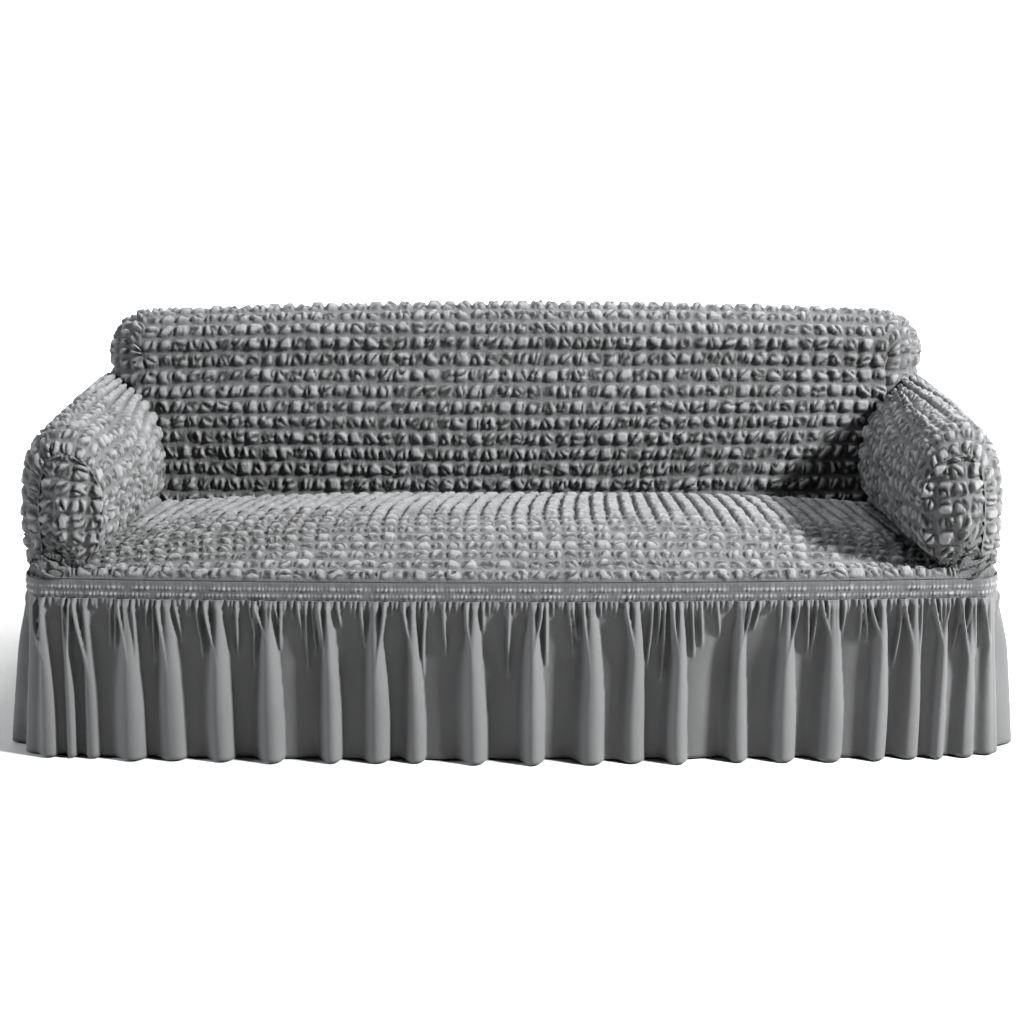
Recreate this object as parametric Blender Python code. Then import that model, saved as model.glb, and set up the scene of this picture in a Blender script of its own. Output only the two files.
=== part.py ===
"""A fitted slipcover for a three-seat sofa, as it sits on the sofa.

Puffed stretch cloth covers the back, the seat and both arms.  A shirred
waistband runs round under it, and a gathered skirt hangs from the waistband to
the floor.  The sofa itself is left out, so the cover is hollow and open below.

Metres, +Z up, +Y to the rear, origin on the floor under the middle.
Every sewn panel is a closed thin solid that follows the surface it is draped on.
"""
import bmesh
import bpy
import numpy as np

# ---- driving sizes -------------------------------------------------------------
FRONT_Y = -0.431          # front plane of the sofa at the waistband
REAR_Y = 0.455            # rear plane
HALF_WIDTH = 1.046        # middle to the outside of the waistband
BASE_CORNER = 0.056       # plan radius of the waistband's corners
FRONT_BOW = 0.036         # how far the front edge bows forward in the middle
PLAN_STEP = 0.012         # half the length over which the plan's direction is taken

HEM_Z = 0.004
BAND_LOW_Z = 0.362
BAND_TOP_Z = 0.403

PUFFED_CLOTH = 0.008      # the puffed cloth with its raised squares
BAND_CLOTH = 0.004
SKIRT_CLOTH = 0.002
SEAM_GAP = 0.0004         # between two sewn edges, each side of the seam
CLEAR = 0.003             # between panels that only lie against each other

BACK_EDGE_RADIUS = 0.098  # roll along the top and round both ends of the back
BACK_FLAT_HALF = 0.911    # half width of the back's flat face
BACK_TOP_Z = 0.784        # height where the top roll begins
TOP_SAG = 0.020           # the top sinks this much towards its ends
BACK_CROWN = 0.016        # the face bulges forward in the middle
BACK_TUCK = 0.065         # between the arms the inside back is this much narrower, each side
BACK_DRAWN = 0.86         # share of its front rounding that the outside back leaves to the arms
BACK_END_TURN = 87        # degrees of the rounded ends that the inside back covers
CREASE_Z = 0.440          # the back's face meets the seat here

# height, y of the back's face, half width of the back there
BACK_SHAPE = [
    (0.400, FRONT_Y + 0.602, 1.044),
    (0.500, FRONT_Y + 0.626, 1.036),
    (0.600, FRONT_Y + 0.650, 1.027),
    (0.660, FRONT_Y + 0.664, 1.014),
    (0.710, FRONT_Y + 0.676, 1.003),
    (0.755, FRONT_Y + 0.687, 1.009),
    (0.784, FRONT_Y + 0.690, 1.009),
]

# distance behind the front plane, height in the middle, height at the sides
SEAT_SHAPE = [
    (-0.0360, 0.405, 0.405),
    (-0.0350, 0.416, 0.416),
    (-0.0260, 0.427, 0.430),
    (0.000, 0.436, 0.421),
    (0.031, 0.446, 0.424),
    (0.067, 0.456, 0.424),
    (0.140, 0.474, 0.424),
    (0.270, 0.480, 0.424),
    (0.420, 0.472, 0.424),
    (0.530, 0.456, 0.424),
    (0.596, 0.440, 0.424),
]
SEAT_FRONT_HALF = 0.926
SEAT_REAR_HALF = 0.852
SEAT_STRIP_HALF = 1.078   # half length of the strip that runs on under the arms, round the corner
SEAT_STRIP_TAPER = 1.030  # from here on it tapers to its end
SEAT_STRIP_END = 0.30     # share of its rise that is left there
SEAT_EDGE_POWER = 3.5     # how late the crowned seat falls towards its sides
SEAT_BOW_DEPTH = 0.45     # the front edge's bow has gone this far behind the front plane

# from the outer foot, over the top, to the inner tuck:
# (outward, height) behind the front rounding, and where the arm meets the back
ARM_SECTION = [
    (1.050, 0.408, 1.048, 0.408),
    (1.059, 0.500, 1.048, 0.500),
    (1.052, 0.600, 1.041, 0.600),
    (1.030, 0.670, 1.030, 0.668),
    (0.991, 0.713, 0.999, 0.710),
    (0.938, 0.722, 0.953, 0.694),
    (0.886, 0.700, 0.905, 0.660),
    (0.853, 0.632, 0.864, 0.600),
    (0.846, 0.548, 0.849, 0.525),
    (0.864, 0.476, 0.852, 0.462),
    (0.896, 0.442, 0.866, 0.440),
]
ARM_CENTRE = (0.945, 0.550)
ARM_FRONT_S = 0.012       # seam round the arm's front, behind the front plane
ARM_ROUND_S = 0.110       # where the rounding of the front ends
ARM_ROUND_SHARE = 0.96    # how far round its quarter circle the front is turned
# at its front seam the section is smaller than behind the rounding: share of the width on the
# outer and inner side, of the height on top, and below on the outer and inner side
ARM_OUTER_SCALE, ARM_INNER_SCALE, ARM_TOP_SCALE = 0.45, 0.82, 0.67
ARM_FOOT_SCALE, ARM_TUCK_SCALE = 0.84, 1.04
ARM_FRONT_SHARE = 0.985   # of the seam's outline that the front panel fills
ARM_DOME = 0.030          # how far the front panel swells
ARM_PUFF = 0.008          # extra fullness half way along
# how closely its end follows the rounded end of the back, above and below
ARM_SNUG, ARM_SNUG_LOW = 0.72, 0.96

# skirt: rise from hem to waistband, share of the flare, share of the fold depth
SKIRT_ROWS = [
    (0.00, 1.00, 1.00),
    (0.58, 0.44, 0.78),
    (0.86, 0.14, 0.38),
    (1.00, 0.00, 0.10),
]
# ridges of the front skirt: distance from its left end, depth at the hem
FRONT_FOLDS = [
    (0.035, 0.022), (0.080, 0.024), (0.125, 0.024), (0.215, 0.030), (0.300, 0.032),
    (0.410, 0.038), (0.515, 0.036), (0.645, 0.042), (0.745, 0.032),
    (0.825, 0.032), (0.955, 0.042), (1.080, 0.040), (1.200, 0.040),
    (1.295, 0.032), (1.390, 0.038), (1.520, 0.040), (1.620, 0.036),
    (1.715, 0.036), (1.820, 0.036), (1.890, 0.026), (1.955, 0.024),
    (2.015, 0.024), (2.060, 0.018),
]
HIDDEN_FOLD_PITCH = 0.098  # folds of the sides and the rear, on average
HIDDEN_FOLD_DEPTH = 0.038
STEPS_PER_FOLD = 6
FOLD_POWER = 1.3          # above 1 the ridges are narrower than the hollows between them
FOLD_INSIDE = 0.42        # share of a fold's depth that lies inside the base plan
SIDE_FLARE, FRONT_FLARE, REAR_FLARE = 0.042, 0.004, 0.014   # the hem beyond the waistband
BACK_SHIFT = 0.009        # the top of the back sits a little to the right

GREY = {
    "puffed_cloth": (0.235, 0.238, 0.242, 1.0),
    "waistband": (0.150, 0.153, 0.157, 1.0),
    "skirt_cloth": (0.165, 0.168, 0.172, 1.0),
}


# ---- helpers -------------------------------------------------------------------
def smoothstep(value, low, high):
    t = np.clip((value - low) / (high - low), 0.0, 1.0)
    return t * t * (3.0 - 2.0 * t)


def curve(rows, at):
    """Smooth curve through table rows (key, value, ...), one result per value column."""
    rows = np.asarray(rows, float)
    keys, values = rows[:, 0], rows[:, 1:]
    slopes = np.gradient(values, keys, axis=0)
    at = np.clip(np.asarray(at, float), keys[0], keys[-1])
    i = np.clip(np.searchsorted(keys, at, side="right") - 1, 0, len(keys) - 2)
    span = keys[i + 1] - keys[i]
    t = ((at - keys[i]) / span)[..., None]
    span = span[..., None]
    result = ((1 + 2 * t) * (1 - t) ** 2 * values[i] + t * (1 - t) ** 2 * span * slopes[i]
              + t * t * (3 - 2 * t) * values[i + 1] + t * t * (t - 1) * span * slopes[i + 1])
    return [result[..., k] for k in range(values.shape[1])]


def normals_of(surface, u, v, step=0.0004):
    """Outward normals of surface(u, v), by central differences."""
    du = surface(u + step, v) - surface(u - step, v)
    dv = surface(u, v + step) - surface(u, v - step)
    normal = np.cross(du, dv)
    return normal / np.maximum(np.linalg.norm(normal, axis=-1, keepdims=True), 1e-12)


def sheet(name, slot, surface, u_values, v_values, thick, ring=False):
    """Closed solid: the surface on its outer side, the cloth's thickness behind it."""
    u, v = np.meshgrid(u_values, v_values, indexing="ij")
    outer = surface(u, v)
    inner = outer - thick * normals_of(surface, u, v)
    columns, rows = u.shape
    mesh = bpy.data.meshes.new(name)
    bm = bmesh.new()
    layer = [[[bm.verts.new(p) for p in line] for line in grid] for grid in (outer, inner)]
    last = columns if ring else columns - 1

    def face(*corners):
        bm.faces.new([layer[side][i % columns][j] for side, i, j in corners])

    for i in range(last):
        for j in range(rows - 1):
            face((0, i, j), (0, i + 1, j), (0, i + 1, j + 1), (0, i, j + 1))
            face((1, i, j), (1, i, j + 1), (1, i + 1, j + 1), (1, i + 1, j))
        face((0, i, 0), (1, i, 0), (1, i + 1, 0), (0, i + 1, 0))
        face((0, i, rows - 1), (0, i + 1, rows - 1), (1, i + 1, rows - 1), (1, i, rows - 1))
    if not ring:
        for j in range(rows - 1):
            face((0, 0, j), (0, 0, j + 1), (1, 0, j + 1), (1, 0, j))
            face((0, last, j), (1, last, j), (1, last, j + 1), (0, last, j + 1))
    bmesh.ops.recalc_face_normals(bm, faces=bm.faces)
    bm.to_mesh(mesh)
    bm.free()
    mesh.shade_smooth()
    mesh.set_sharp_from_angle(angle=np.radians(50))
    mesh.materials.append(material(slot))
    body = bpy.data.objects.new(name, mesh)
    bpy.context.scene.collection.objects.link(body)
    return body


def material(slot):
    found = bpy.data.materials.get(slot)
    if found:
        return found
    made = bpy.data.materials.new(slot)
    made.use_nodes = True
    shader = made.node_tree.nodes["Principled BSDF"]
    shader.inputs["Base Color"].default_value = GREY[slot]
    shader.inputs["Roughness"].default_value = 0.9
    shader.inputs["Metallic"].default_value = 0.0
    return made


# ---- plan of the base: waistband and skirt -------------------------------------
def base_outline():
    """Plan of the waistband, once round from the middle of the front left corner, with the
    length run so far at each point."""
    inner_x = HALF_WIDTH - BASE_CORNER
    low_y, high_y = FRONT_Y + BASE_CORNER, REAR_Y - BASE_CORNER
    # corner centre, and the bearings its arc runs between
    arcs = [(-inner_x, low_y, 225, 270), (inner_x, low_y, 270, 360), (inner_x, high_y, 0, 90),
            (-inner_x, high_y, 90, 180), (-inner_x, low_y, 180, 225)]
    points = []
    for centre_x, centre_y, start, end in arcs:
        bearing = np.radians(np.linspace(start, end, 13))
        arc = np.stack([np.cos(bearing), np.sin(bearing)], axis=1) * BASE_CORNER
        arc += (centre_x, centre_y)
        if points:
            steps = int(np.linalg.norm(arc[0] - points[-1]) / 0.02)
            points.extend(np.linspace(points[-1], arc[0], steps)[1:-1])
        points.extend(arc)
    outline = np.array(points)
    bow = FRONT_BOW * np.clip(1 - (outline[:, 0] / HALF_WIDTH) ** 2, 0, 1)
    outline[:, 1] -= bow * (outline[:, 1] < low_y - 0.0005)
    steps = np.linalg.norm(np.diff(outline, axis=0), axis=1)
    return outline, np.concatenate([[0], np.cumsum(steps)])


OUTLINE, OUTLINE_LENGTH = base_outline()
ROUND = OUTLINE_LENGTH[-1]


def base_point(along, out=0.0):
    """x and y of a point on the base plan, moved outwards by out."""
    def at(length):
        length = np.mod(length, ROUND)
        return (np.interp(length, OUTLINE_LENGTH, OUTLINE[:, 0]),
                np.interp(length, OUTLINE_LENGTH, OUTLINE[:, 1]))

    x, y = at(along)
    ahead, behind = at(along + PLAN_STEP), at(along - PLAN_STEP)
    run_x, run_y = ahead[0] - behind[0], ahead[1] - behind[1]
    size = np.hypot(run_x, run_y)
    return x + out * run_y / size, y - out * run_x / size


def corner_lengths():
    """Places along the base plan of the four corner middles, starting at the front left."""
    marks = [0.0]
    for sx, sy in ((1, -1), (1, 1), (-1, 1)):
        reach = BASE_CORNER * (1 - np.sqrt(0.5))
        target = np.array([sx * (HALF_WIDTH - reach), FRONT_Y + reach if sy < 0 else REAR_Y - reach])
        marks.append(OUTLINE_LENGTH[np.argmin(np.linalg.norm(OUTLINE - target, axis=1))])
    return marks + [ROUND]


CORNERS = corner_lengths()


# ---- back ----------------------------------------------------------------------
def sag(x, z):
    """The top sinks a little towards both ends."""
    return TOP_SAG * (x / BACK_FLAT_HALF) ** 2 * smoothstep(z, 0.50, BACK_TOP_Z)


def shift(z):
    return BACK_SHIFT * smoothstep(z, 0.60, BACK_TOP_Z)


def crown(x, z):
    """The face bulges forward between the ends and between crease and top."""
    across = np.clip(1 - (x / BACK_FLAT_HALF) ** 2, 0, 1)
    height = np.clip((z - CREASE_Z) / (BACK_TOP_Z - CREASE_Z), 0, 1)
    return BACK_CROWN * across * np.sin(np.pi * height)


def back_face_y(z):
    return curve(BACK_SHAPE, z)[0]


FACE_LENGTH = np.hypot(BACK_TOP_Z - CREASE_Z, back_face_y(BACK_TOP_Z) - back_face_y(CREASE_Z))
BACK_LENGTH = FACE_LENGTH + np.pi * BACK_EDGE_RADIUS


def inside_back_surface(across, up):
    """across: metres from the middle, measured over the rounded ends; up: metres from the
    crease, up the face and over the top roll."""
    face_z = CREASE_Z + (BACK_TOP_Z - CREASE_Z) * np.clip(up / FACE_LENGTH, 0, 1)
    roll = np.clip(up - FACE_LENGTH, 0, None) / BACK_EDGE_RADIUS
    turn = np.clip(np.abs(across) - BACK_FLAT_HALF, 0, None) / BACK_EDGE_RADIUS
    radius = BACK_EDGE_RADIUS * np.cos(turn)
    x = np.sign(across) * (np.minimum(np.abs(across), BACK_FLAT_HALF) + BACK_EDGE_RADIUS * np.sin(turn))
    y = back_face_y(face_z) + BACK_EDGE_RADIUS - radius * np.cos(roll)
    z = face_z + radius * np.sin(roll)
    y = y - crown(x, face_z)
    return np.stack([x + shift(z), y, z - sag(x, z)], axis=-1)


def inside_back_half(up):
    """Half width of the panel: arm to arm below, flat face above, over the corners on top."""
    narrow = BACK_FLAT_HALF - BACK_TUCK * (1 - smoothstep(up, 0.17, 0.26))
    corner = BACK_EDGE_RADIUS * np.radians(BACK_END_TURN)
    over = np.where(up > FACE_LENGTH + 0.001, 1.0, 0.0)
    return narrow - SEAM_GAP * 2 + corner * over


def make_inside_back():
    up = np.concatenate([np.linspace(0, FACE_LENGTH, 9), [FACE_LENGTH + 0.002],
                         FACE_LENGTH + np.linspace(0.12, 0.88, 7) * (BACK_LENGTH - FACE_LENGTH),
                         [BACK_LENGTH - SEAM_GAP]])
    end = [0.9, 0.93, 0.965, 1]
    share = np.concatenate([np.negative(end[::-1]), np.linspace(-0.855, 0.855, 27), end])

    def surface(across_share, up_along):
        return inside_back_surface(across_share * inside_back_half(up_along), up_along)
    return sheet("inside_back", "puffed_cloth", surface, share, up, PUFFED_CLOTH)


def outside_back_surface(station, z):
    """station 0 is the rear middle; 1 and 2 the rear rounding's ends, 3 and 4 the front
    rounding's ends, with the flat side between 2 and 3; negative on the left."""
    side, s = np.sign(station), np.abs(station)
    face_y, half = curve(BACK_SHAPE, z)
    rise = np.clip((z - BAND_TOP_Z) / (BACK_TOP_Z - BAND_TOP_Z), 0, 1)
    rear_radius = BASE_CORNER + (BACK_EDGE_RADIUS - BASE_CORNER) * rise
    rear_turn = np.clip(s - 1, 0, 1) * np.pi / 2
    front_turn = np.clip(s - 3, 0, 1) * np.pi / 2
    x = (np.clip(s, 0, 1) * (half - rear_radius) + rear_radius * np.sin(rear_turn)
         - (half - BACK_FLAT_HALF) * (1 - np.cos(front_turn)))
    rear_corner_y = REAR_Y - rear_radius
    front_corner_y = face_y + BACK_EDGE_RADIUS
    y = (REAR_Y - rear_radius * (1 - np.cos(rear_turn))
         - np.clip(s - 2, 0, 1) * (rear_corner_y - front_corner_y)
         - BACK_EDGE_RADIUS * np.sin(front_turn))
    x = side * x
    return np.stack([x + shift(z), y, z - sag(x, z)], axis=-1)


def make_outside_back():
    side = [1.0, 1.33, 1.66, 2.0, 3.0, 3.33, 3.66, 3.995]
    stations = np.array([-s for s in reversed(side)] + list(np.linspace(-0.875, 0.875, 15)) + side)
    heights = np.array([BAND_TOP_Z + SEAM_GAP * 2, 0.47, 0.54, 0.61, 0.665, 0.695, 0.72, 0.75,
                        BACK_TOP_Z - SEAM_GAP * 2])

    def surface(leftward, z):
        # below the arm's top the panel's front edge draws back to the arm's outer side
        drawn = BACK_DRAWN * (1 - smoothstep(z, 0.672, 0.718))
        s = np.abs(leftward)
        s = np.where(s > 3, 3 + (s - 3) * (1 - drawn), s)
        return outside_back_surface(-np.sign(leftward) * s, z)
    return sheet("outside_back", "puffed_cloth", surface, stations, heights, PUFFED_CLOTH)


# ---- seat ----------------------------------------------------------------------
SEAT_PROFILE = np.array(SEAT_SHAPE)
SEAT_LENGTH = np.concatenate([[0], np.cumsum(np.hypot(np.diff(SEAT_PROFILE[:, 0]),
                                                      np.diff(SEAT_PROFILE[:, 1])))])
STRIP_LENGTH = 0.5 * (SEAT_LENGTH[2] + SEAT_LENGTH[3])


def seat_half(depth, back):
    """Half width: the strip under the arms in front, then arm to arm."""
    seat_depth = SEAT_SHAPE[-1][0]
    share = np.clip(depth / seat_depth, 0, 1)
    seat = SEAT_FRONT_HALF + (SEAT_REAR_HALF - SEAT_FRONT_HALF) * share
    return np.where(back < STRIP_LENGTH, SEAT_STRIP_HALF, seat)


def seat_surface(share, back):
    """share: -1 to 1 across; back: metres along the profile from the waistband."""
    rows = np.column_stack([SEAT_LENGTH, SEAT_PROFILE])
    depth, middle_z, side_z = curve(rows, back)
    across = share * seat_half(depth, back)
    edge = np.abs(share) ** SEAT_EDGE_POWER
    z = middle_z * (1 - edge) + side_z * edge
    end = SEAT_SHAPE[0][1]
    taper = smoothstep(np.abs(across), SEAT_STRIP_TAPER - 0.02, SEAT_STRIP_HALF)
    z = end + (z - end) * (1 - (1 - SEAT_STRIP_END) * taper)
    # the strip follows the waistband round the corner, the seat runs straight back
    strip_x, strip_y = base_point((CORNERS[0] + CORNERS[1]) / 2 + across, -(depth + FRONT_BOW))
    bow = FRONT_BOW * np.clip(1 - (across / HALF_WIDTH) ** 2, 0, 1)
    near = 1 - smoothstep(depth, 0.0, SEAT_BOW_DEPTH)
    seat_y = FRONT_Y + depth + (FRONT_BOW - bow) * near
    strip = back < STRIP_LENGTH
    return np.stack([np.where(strip, strip_x, across), np.where(strip, strip_y, seat_y), z], axis=-1)


def make_seat():
    back = np.concatenate([SEAT_LENGTH[:6], np.linspace(SEAT_LENGTH[6], SEAT_LENGTH[-1], 7)])
    # columns stand closer towards the sides, where the seat falls
    quarter = np.pi / 2 * 0.92
    share = np.sin(np.linspace(-quarter, quarter, 31)) / np.sin(quarter)
    return sheet("seat_panel", "puffed_cloth", seat_surface, share, back, PUFFED_CLOTH)


# ---- arms ----------------------------------------------------------------------
ARM = np.array(ARM_SECTION)
ARM_STEPS = np.arange(len(ARM_SECTION)) / (len(ARM_SECTION) - 1)


def arm_rear_y(out, z):
    """Where the arm's cloth ends at the back: just in front of the back's surface."""
    face_y, half = curve(BACK_SHAPE, np.clip(z, 0.40, BACK_TOP_Z))
    into = np.clip((out - BACK_FLAT_HALF) / (half - BACK_FLAT_HALF), 0, 0.98)
    snug = ARM_SNUG + (ARM_SNUG_LOW - ARM_SNUG) * (1 - smoothstep(z, 0.60, 0.67))
    return face_y + snug * BACK_EDGE_RADIUS * (1 - np.sqrt(1 - into ** 2)) - CLEAR


def arm_surface(side, around, along):
    """around: 0 outer foot to 1 inner tuck; along: 0 front seam to 1 at the back."""
    rows = np.column_stack([ARM_STEPS, ARM])
    front_out, front_z, rear_out, rear_z = curve(rows, around)
    start_y = FRONT_Y + ARM_FRONT_S
    end_y = arm_rear_y(rear_out, rear_z)
    y = start_y + (end_y - start_y) * along
    t = np.clip(along, 0, 1)
    puff = ARM_PUFF * np.sin(np.pi * t) ** 2
    out = front_out + (rear_out - front_out) * t
    z = front_z + (rear_z - front_z) * t
    out = out + puff * (out - ARM_CENTRE[0]) / 0.1
    before = np.clip((FRONT_Y + ARM_ROUND_S - y) / (ARM_ROUND_S - ARM_FRONT_S), 0, 1)
    turned = ARM_ROUND_SHARE * before
    shrink = (1 - np.sqrt(1 - turned ** 2)) / (1 - np.sqrt(1 - ARM_ROUND_SHARE ** 2))
    outer = smoothstep(out - ARM_CENTRE[0], -0.05, 0.08)
    below = ARM_TUCK_SCALE + (ARM_FOOT_SCALE - ARM_TUCK_SCALE) * outer
    scale_z = np.where(z > ARM_CENTRE[1], ARM_TOP_SCALE, below)
    scale_out = np.where(out > ARM_CENTRE[0], ARM_OUTER_SCALE, ARM_INNER_SCALE)
    out = ARM_CENTRE[0] + (out - ARM_CENTRE[0]) * (1 - (1 - scale_out) * shrink)
    z = ARM_CENTRE[1] + (z - ARM_CENTRE[1]) * (1 - (1 - scale_z) * shrink)
    return np.stack([side * out, y, z], axis=-1)


def make_arm(name, side):
    around = np.linspace(0, 1, 21)
    along = np.array([0.0006, 0.03, 0.07, 0.115, 0.165, 0.30, 0.45, 0.60, 0.75, 0.88, 1.0])

    def surface(a, b):
        return arm_surface(side, a if side < 0 else 1 - a, b)
    return sheet(name, "puffed_cloth", surface, around, along, PUFFED_CLOTH)


def arm_front_surface(side, a, b):
    """Domed panel over the arm's front; a and b from -1 to 1 over a square.  The panel lies
    just in front of the seam's edge."""
    a, b = -side * np.clip(a, -1, 1), np.clip(b, -1, 1)
    # the square is pressed onto a disc, whose rim is then matched to the seam's outline
    da, db = a * np.sqrt(1 - b * b / 2), b * np.sqrt(1 - a * a / 2)
    radius = np.hypot(da, db)
    bearing = np.arctan2(db, da)
    # the seam runs from the outer foot over the top to the tuck
    foot, tuck = np.radians(222), np.radians(-45)
    turn = np.mod(bearing - tuck, 2 * np.pi)
    over = foot - tuck
    on_arm = np.clip(1 - turn / over, 0, 1)
    rim = arm_surface(side, on_arm, np.zeros_like(on_arm))
    under = np.clip((turn - over) / (2 * np.pi - over), 0, 1)[..., None]
    foot_point = arm_surface(side, np.zeros_like(on_arm), np.zeros_like(on_arm))
    tuck_point = arm_surface(side, np.ones_like(on_arm), np.zeros_like(on_arm))
    rim = np.where(turn[..., None] <= over, rim, foot_point + (tuck_point - foot_point) * under)
    centre = np.array([side * ARM_CENTRE[0], FRONT_Y + ARM_FRONT_S, ARM_CENTRE[1] + 0.01])
    flat = centre + (rim - centre) * radius[..., None] * ARM_FRONT_SHARE
    flat[..., 1] -= PUFFED_CLOTH + 0.001 + ARM_DOME * (1 - radius ** 2)
    return flat


def make_arm_front(name, side):
    steps = np.sin(np.linspace(-1, 1, 9) * np.pi / 2)

    def surface(a, b):
        return arm_front_surface(side, a, b)
    return sheet(name, "puffed_cloth", surface, steps, steps, PUFFED_CLOTH)


# ---- waistband and skirt -------------------------------------------------------
def make_waistband():
    def surface(along, z):
        x, y = base_point(along)
        return np.stack([x, y, z], axis=-1)
    along = np.linspace(0, ROUND, 89)[:-1]
    heights = np.array([BAND_LOW_Z + SEAM_GAP, BAND_TOP_Z - SEAM_GAP])
    return sheet("waistband", "waistband", surface, along, heights, BAND_CLOTH, ring=True)


def hidden_folds(length, seed):
    """Uneven ridges for a panel that is seen less: distance along, depth."""
    count = round(length / HIDDEN_FOLD_PITCH)
    pitch = length / count
    folds = []
    for k in range(count):
        wander = np.sin(2.4 * k + seed) + 0.6 * np.sin(5.1 * k + 2 * seed)
        folds.append(((k + 0.5 + 0.16 * wander) * pitch,
                      HIDDEN_FOLD_DEPTH * (1 + 0.22 * np.sin(3.7 * k + seed))))
    return folds


def make_skirt(name, start, end, folds):
    ridges = np.array(folds)
    # a half fold is added beyond both ends, so that the sum of folds stays smooth there
    first = 2 * ridges[0, 0] - ridges[1, 0]
    last = 2 * ridges[-1, 0] - ridges[-2, 0]
    places = np.concatenate([[first], ridges[:, 0], [last]])
    depths = np.concatenate([[ridges[0, 1]], ridges[:, 1], [ridges[-1, 1]]])
    phases = np.arange(len(places))
    length = end - start
    rows = np.array(SKIRT_ROWS)

    def surface(along, rise):
        ahead = along - start
        phase = np.interp(ahead, places, phases)
        depth = np.interp(ahead, places, depths)
        flare_share = np.interp(rise, rows[:, 0], rows[:, 1])
        fold_share = np.interp(rise, rows[:, 0], rows[:, 2])
        calm = smoothstep(ahead, 0, 0.03) * smoothstep(length - ahead, 0, 0.03)
        ridge = (0.5 + 0.5 * np.cos(2 * np.pi * phase)) ** FOLD_POWER - FOLD_INSIDE
        x, y = base_point(along)
        ridge_x, ridge_y = base_point(along, depth * fold_share * ridge * calm - 0.001)
        out_x, out_y = base_point(along, 1.0)
        flare_y = np.where(out_y < y, FRONT_FLARE, REAR_FLARE)
        x = ridge_x + flare_share * SIDE_FLARE * (out_x - x)
        y = ridge_y + flare_share * flare_y * (out_y - y)
        z = HEM_Z + rise * (BAND_LOW_Z - SEAM_GAP - HEM_Z)
        return np.stack([x, y, z], axis=-1)

    first_phase = np.interp(SEAM_GAP, places, phases)
    last_phase = np.interp(length - SEAM_GAP, places, phases)
    inner = np.arange(np.ceil(first_phase * STEPS_PER_FOLD + 0.3),
                      last_phase * STEPS_PER_FOLD - 0.3) / STEPS_PER_FOLD
    phase_stops = np.concatenate([[first_phase], inner, [last_phase]])
    along = start + np.interp(phase_stops, phases, places)
    return sheet(name, "skirt_cloth", surface, along, rows[:, 0], SKIRT_CLOTH)


def main():
    for old in list(bpy.data.objects):
        bpy.data.objects.remove(old)
    make_inside_back()
    make_outside_back()
    make_seat()
    for name, side in (("left", -1), ("right", 1)):
        make_arm("arm_" + name, side)
        make_arm_front("arm_front_" + name, side)
    make_waistband()
    side_names = ["skirt_front", "skirt_right", "skirt_back", "skirt_left"]
    for index, (name, start, end) in enumerate(zip(side_names, CORNERS, CORNERS[1:])):
        folds = FRONT_FOLDS if index == 0 else hidden_folds(end - start, 1.3 * index)
        make_skirt(name, start, end, folds)


main()
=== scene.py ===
"""Looks of a fitted sofa slipcover: puffed stretch cloth, a shirred waistband, a gathered skirt.

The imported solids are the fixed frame.  Each sewn piece is made again here as fine cloth on
the same surface as its solid, and stands for that solid.  Metres, +Z up, +Y to the rear.
"""

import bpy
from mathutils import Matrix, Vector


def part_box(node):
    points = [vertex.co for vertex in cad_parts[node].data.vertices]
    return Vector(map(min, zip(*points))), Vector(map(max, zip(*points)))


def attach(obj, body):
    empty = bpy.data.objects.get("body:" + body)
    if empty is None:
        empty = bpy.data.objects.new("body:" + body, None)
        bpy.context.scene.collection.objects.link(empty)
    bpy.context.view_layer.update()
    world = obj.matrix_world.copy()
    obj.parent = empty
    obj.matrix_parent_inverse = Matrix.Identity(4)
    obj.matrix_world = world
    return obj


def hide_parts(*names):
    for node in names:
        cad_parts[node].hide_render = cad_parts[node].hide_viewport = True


bl_info = {
    "name": "Puffed Sofa Slipcover",
    "version": (1, 0, 0),
    "blender": (4, 5, 0),
    "location": "3D View > Sidebar > Slipcover",
    "description": "Builds the cloth of a gathered sofa slipcover over its solids",
    "category": "Object",
}

import bpy
import numpy as np
from bpy.props import FloatProperty, FloatVectorProperty, IntProperty, PointerProperty
from mathutils import Vector

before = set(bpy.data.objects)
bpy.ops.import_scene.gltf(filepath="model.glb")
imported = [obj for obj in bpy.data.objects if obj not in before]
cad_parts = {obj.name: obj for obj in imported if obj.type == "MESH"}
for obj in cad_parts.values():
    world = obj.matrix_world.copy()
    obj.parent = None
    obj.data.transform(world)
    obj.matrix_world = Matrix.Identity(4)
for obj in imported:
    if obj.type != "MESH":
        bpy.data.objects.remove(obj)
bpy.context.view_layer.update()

# ---- sizes shared with the solids ----------------------------------------------
FRONT_BOW = 0.036         # how far the front edge bows forward in the middle
BASE_CORNER = 0.056       # plan radius of the waistband's corners
PLAN_STEP = 0.012         # half the length over which the plan's direction is taken
BAND_LOW, BAND_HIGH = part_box("waistband")
HALF_WIDTH = BAND_HIGH.x
REAR_Y = BAND_HIGH.y
FRONT_Y = BAND_LOW.y + FRONT_BOW
BAND_LOW_Z, BAND_TOP_Z = BAND_LOW.z, BAND_HIGH.z
HEM_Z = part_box("skirt_front")[0].z

BACK_EDGE_RADIUS = 0.098  # roll along the top and round both ends of the back
BACK_FLAT_HALF = 0.911    # half width of the back's flat face
BACK_TOP_Z = 0.784        # height where the top roll begins
TOP_SAG = 0.020           # the top sinks this much towards its ends
BACK_CROWN = 0.016        # the face bulges forward in the middle
CREASE_Z = 0.440          # the back's face meets the seat here
BACK_SHIFT = 0.009        # the top of the back sits a little to the right

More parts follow.
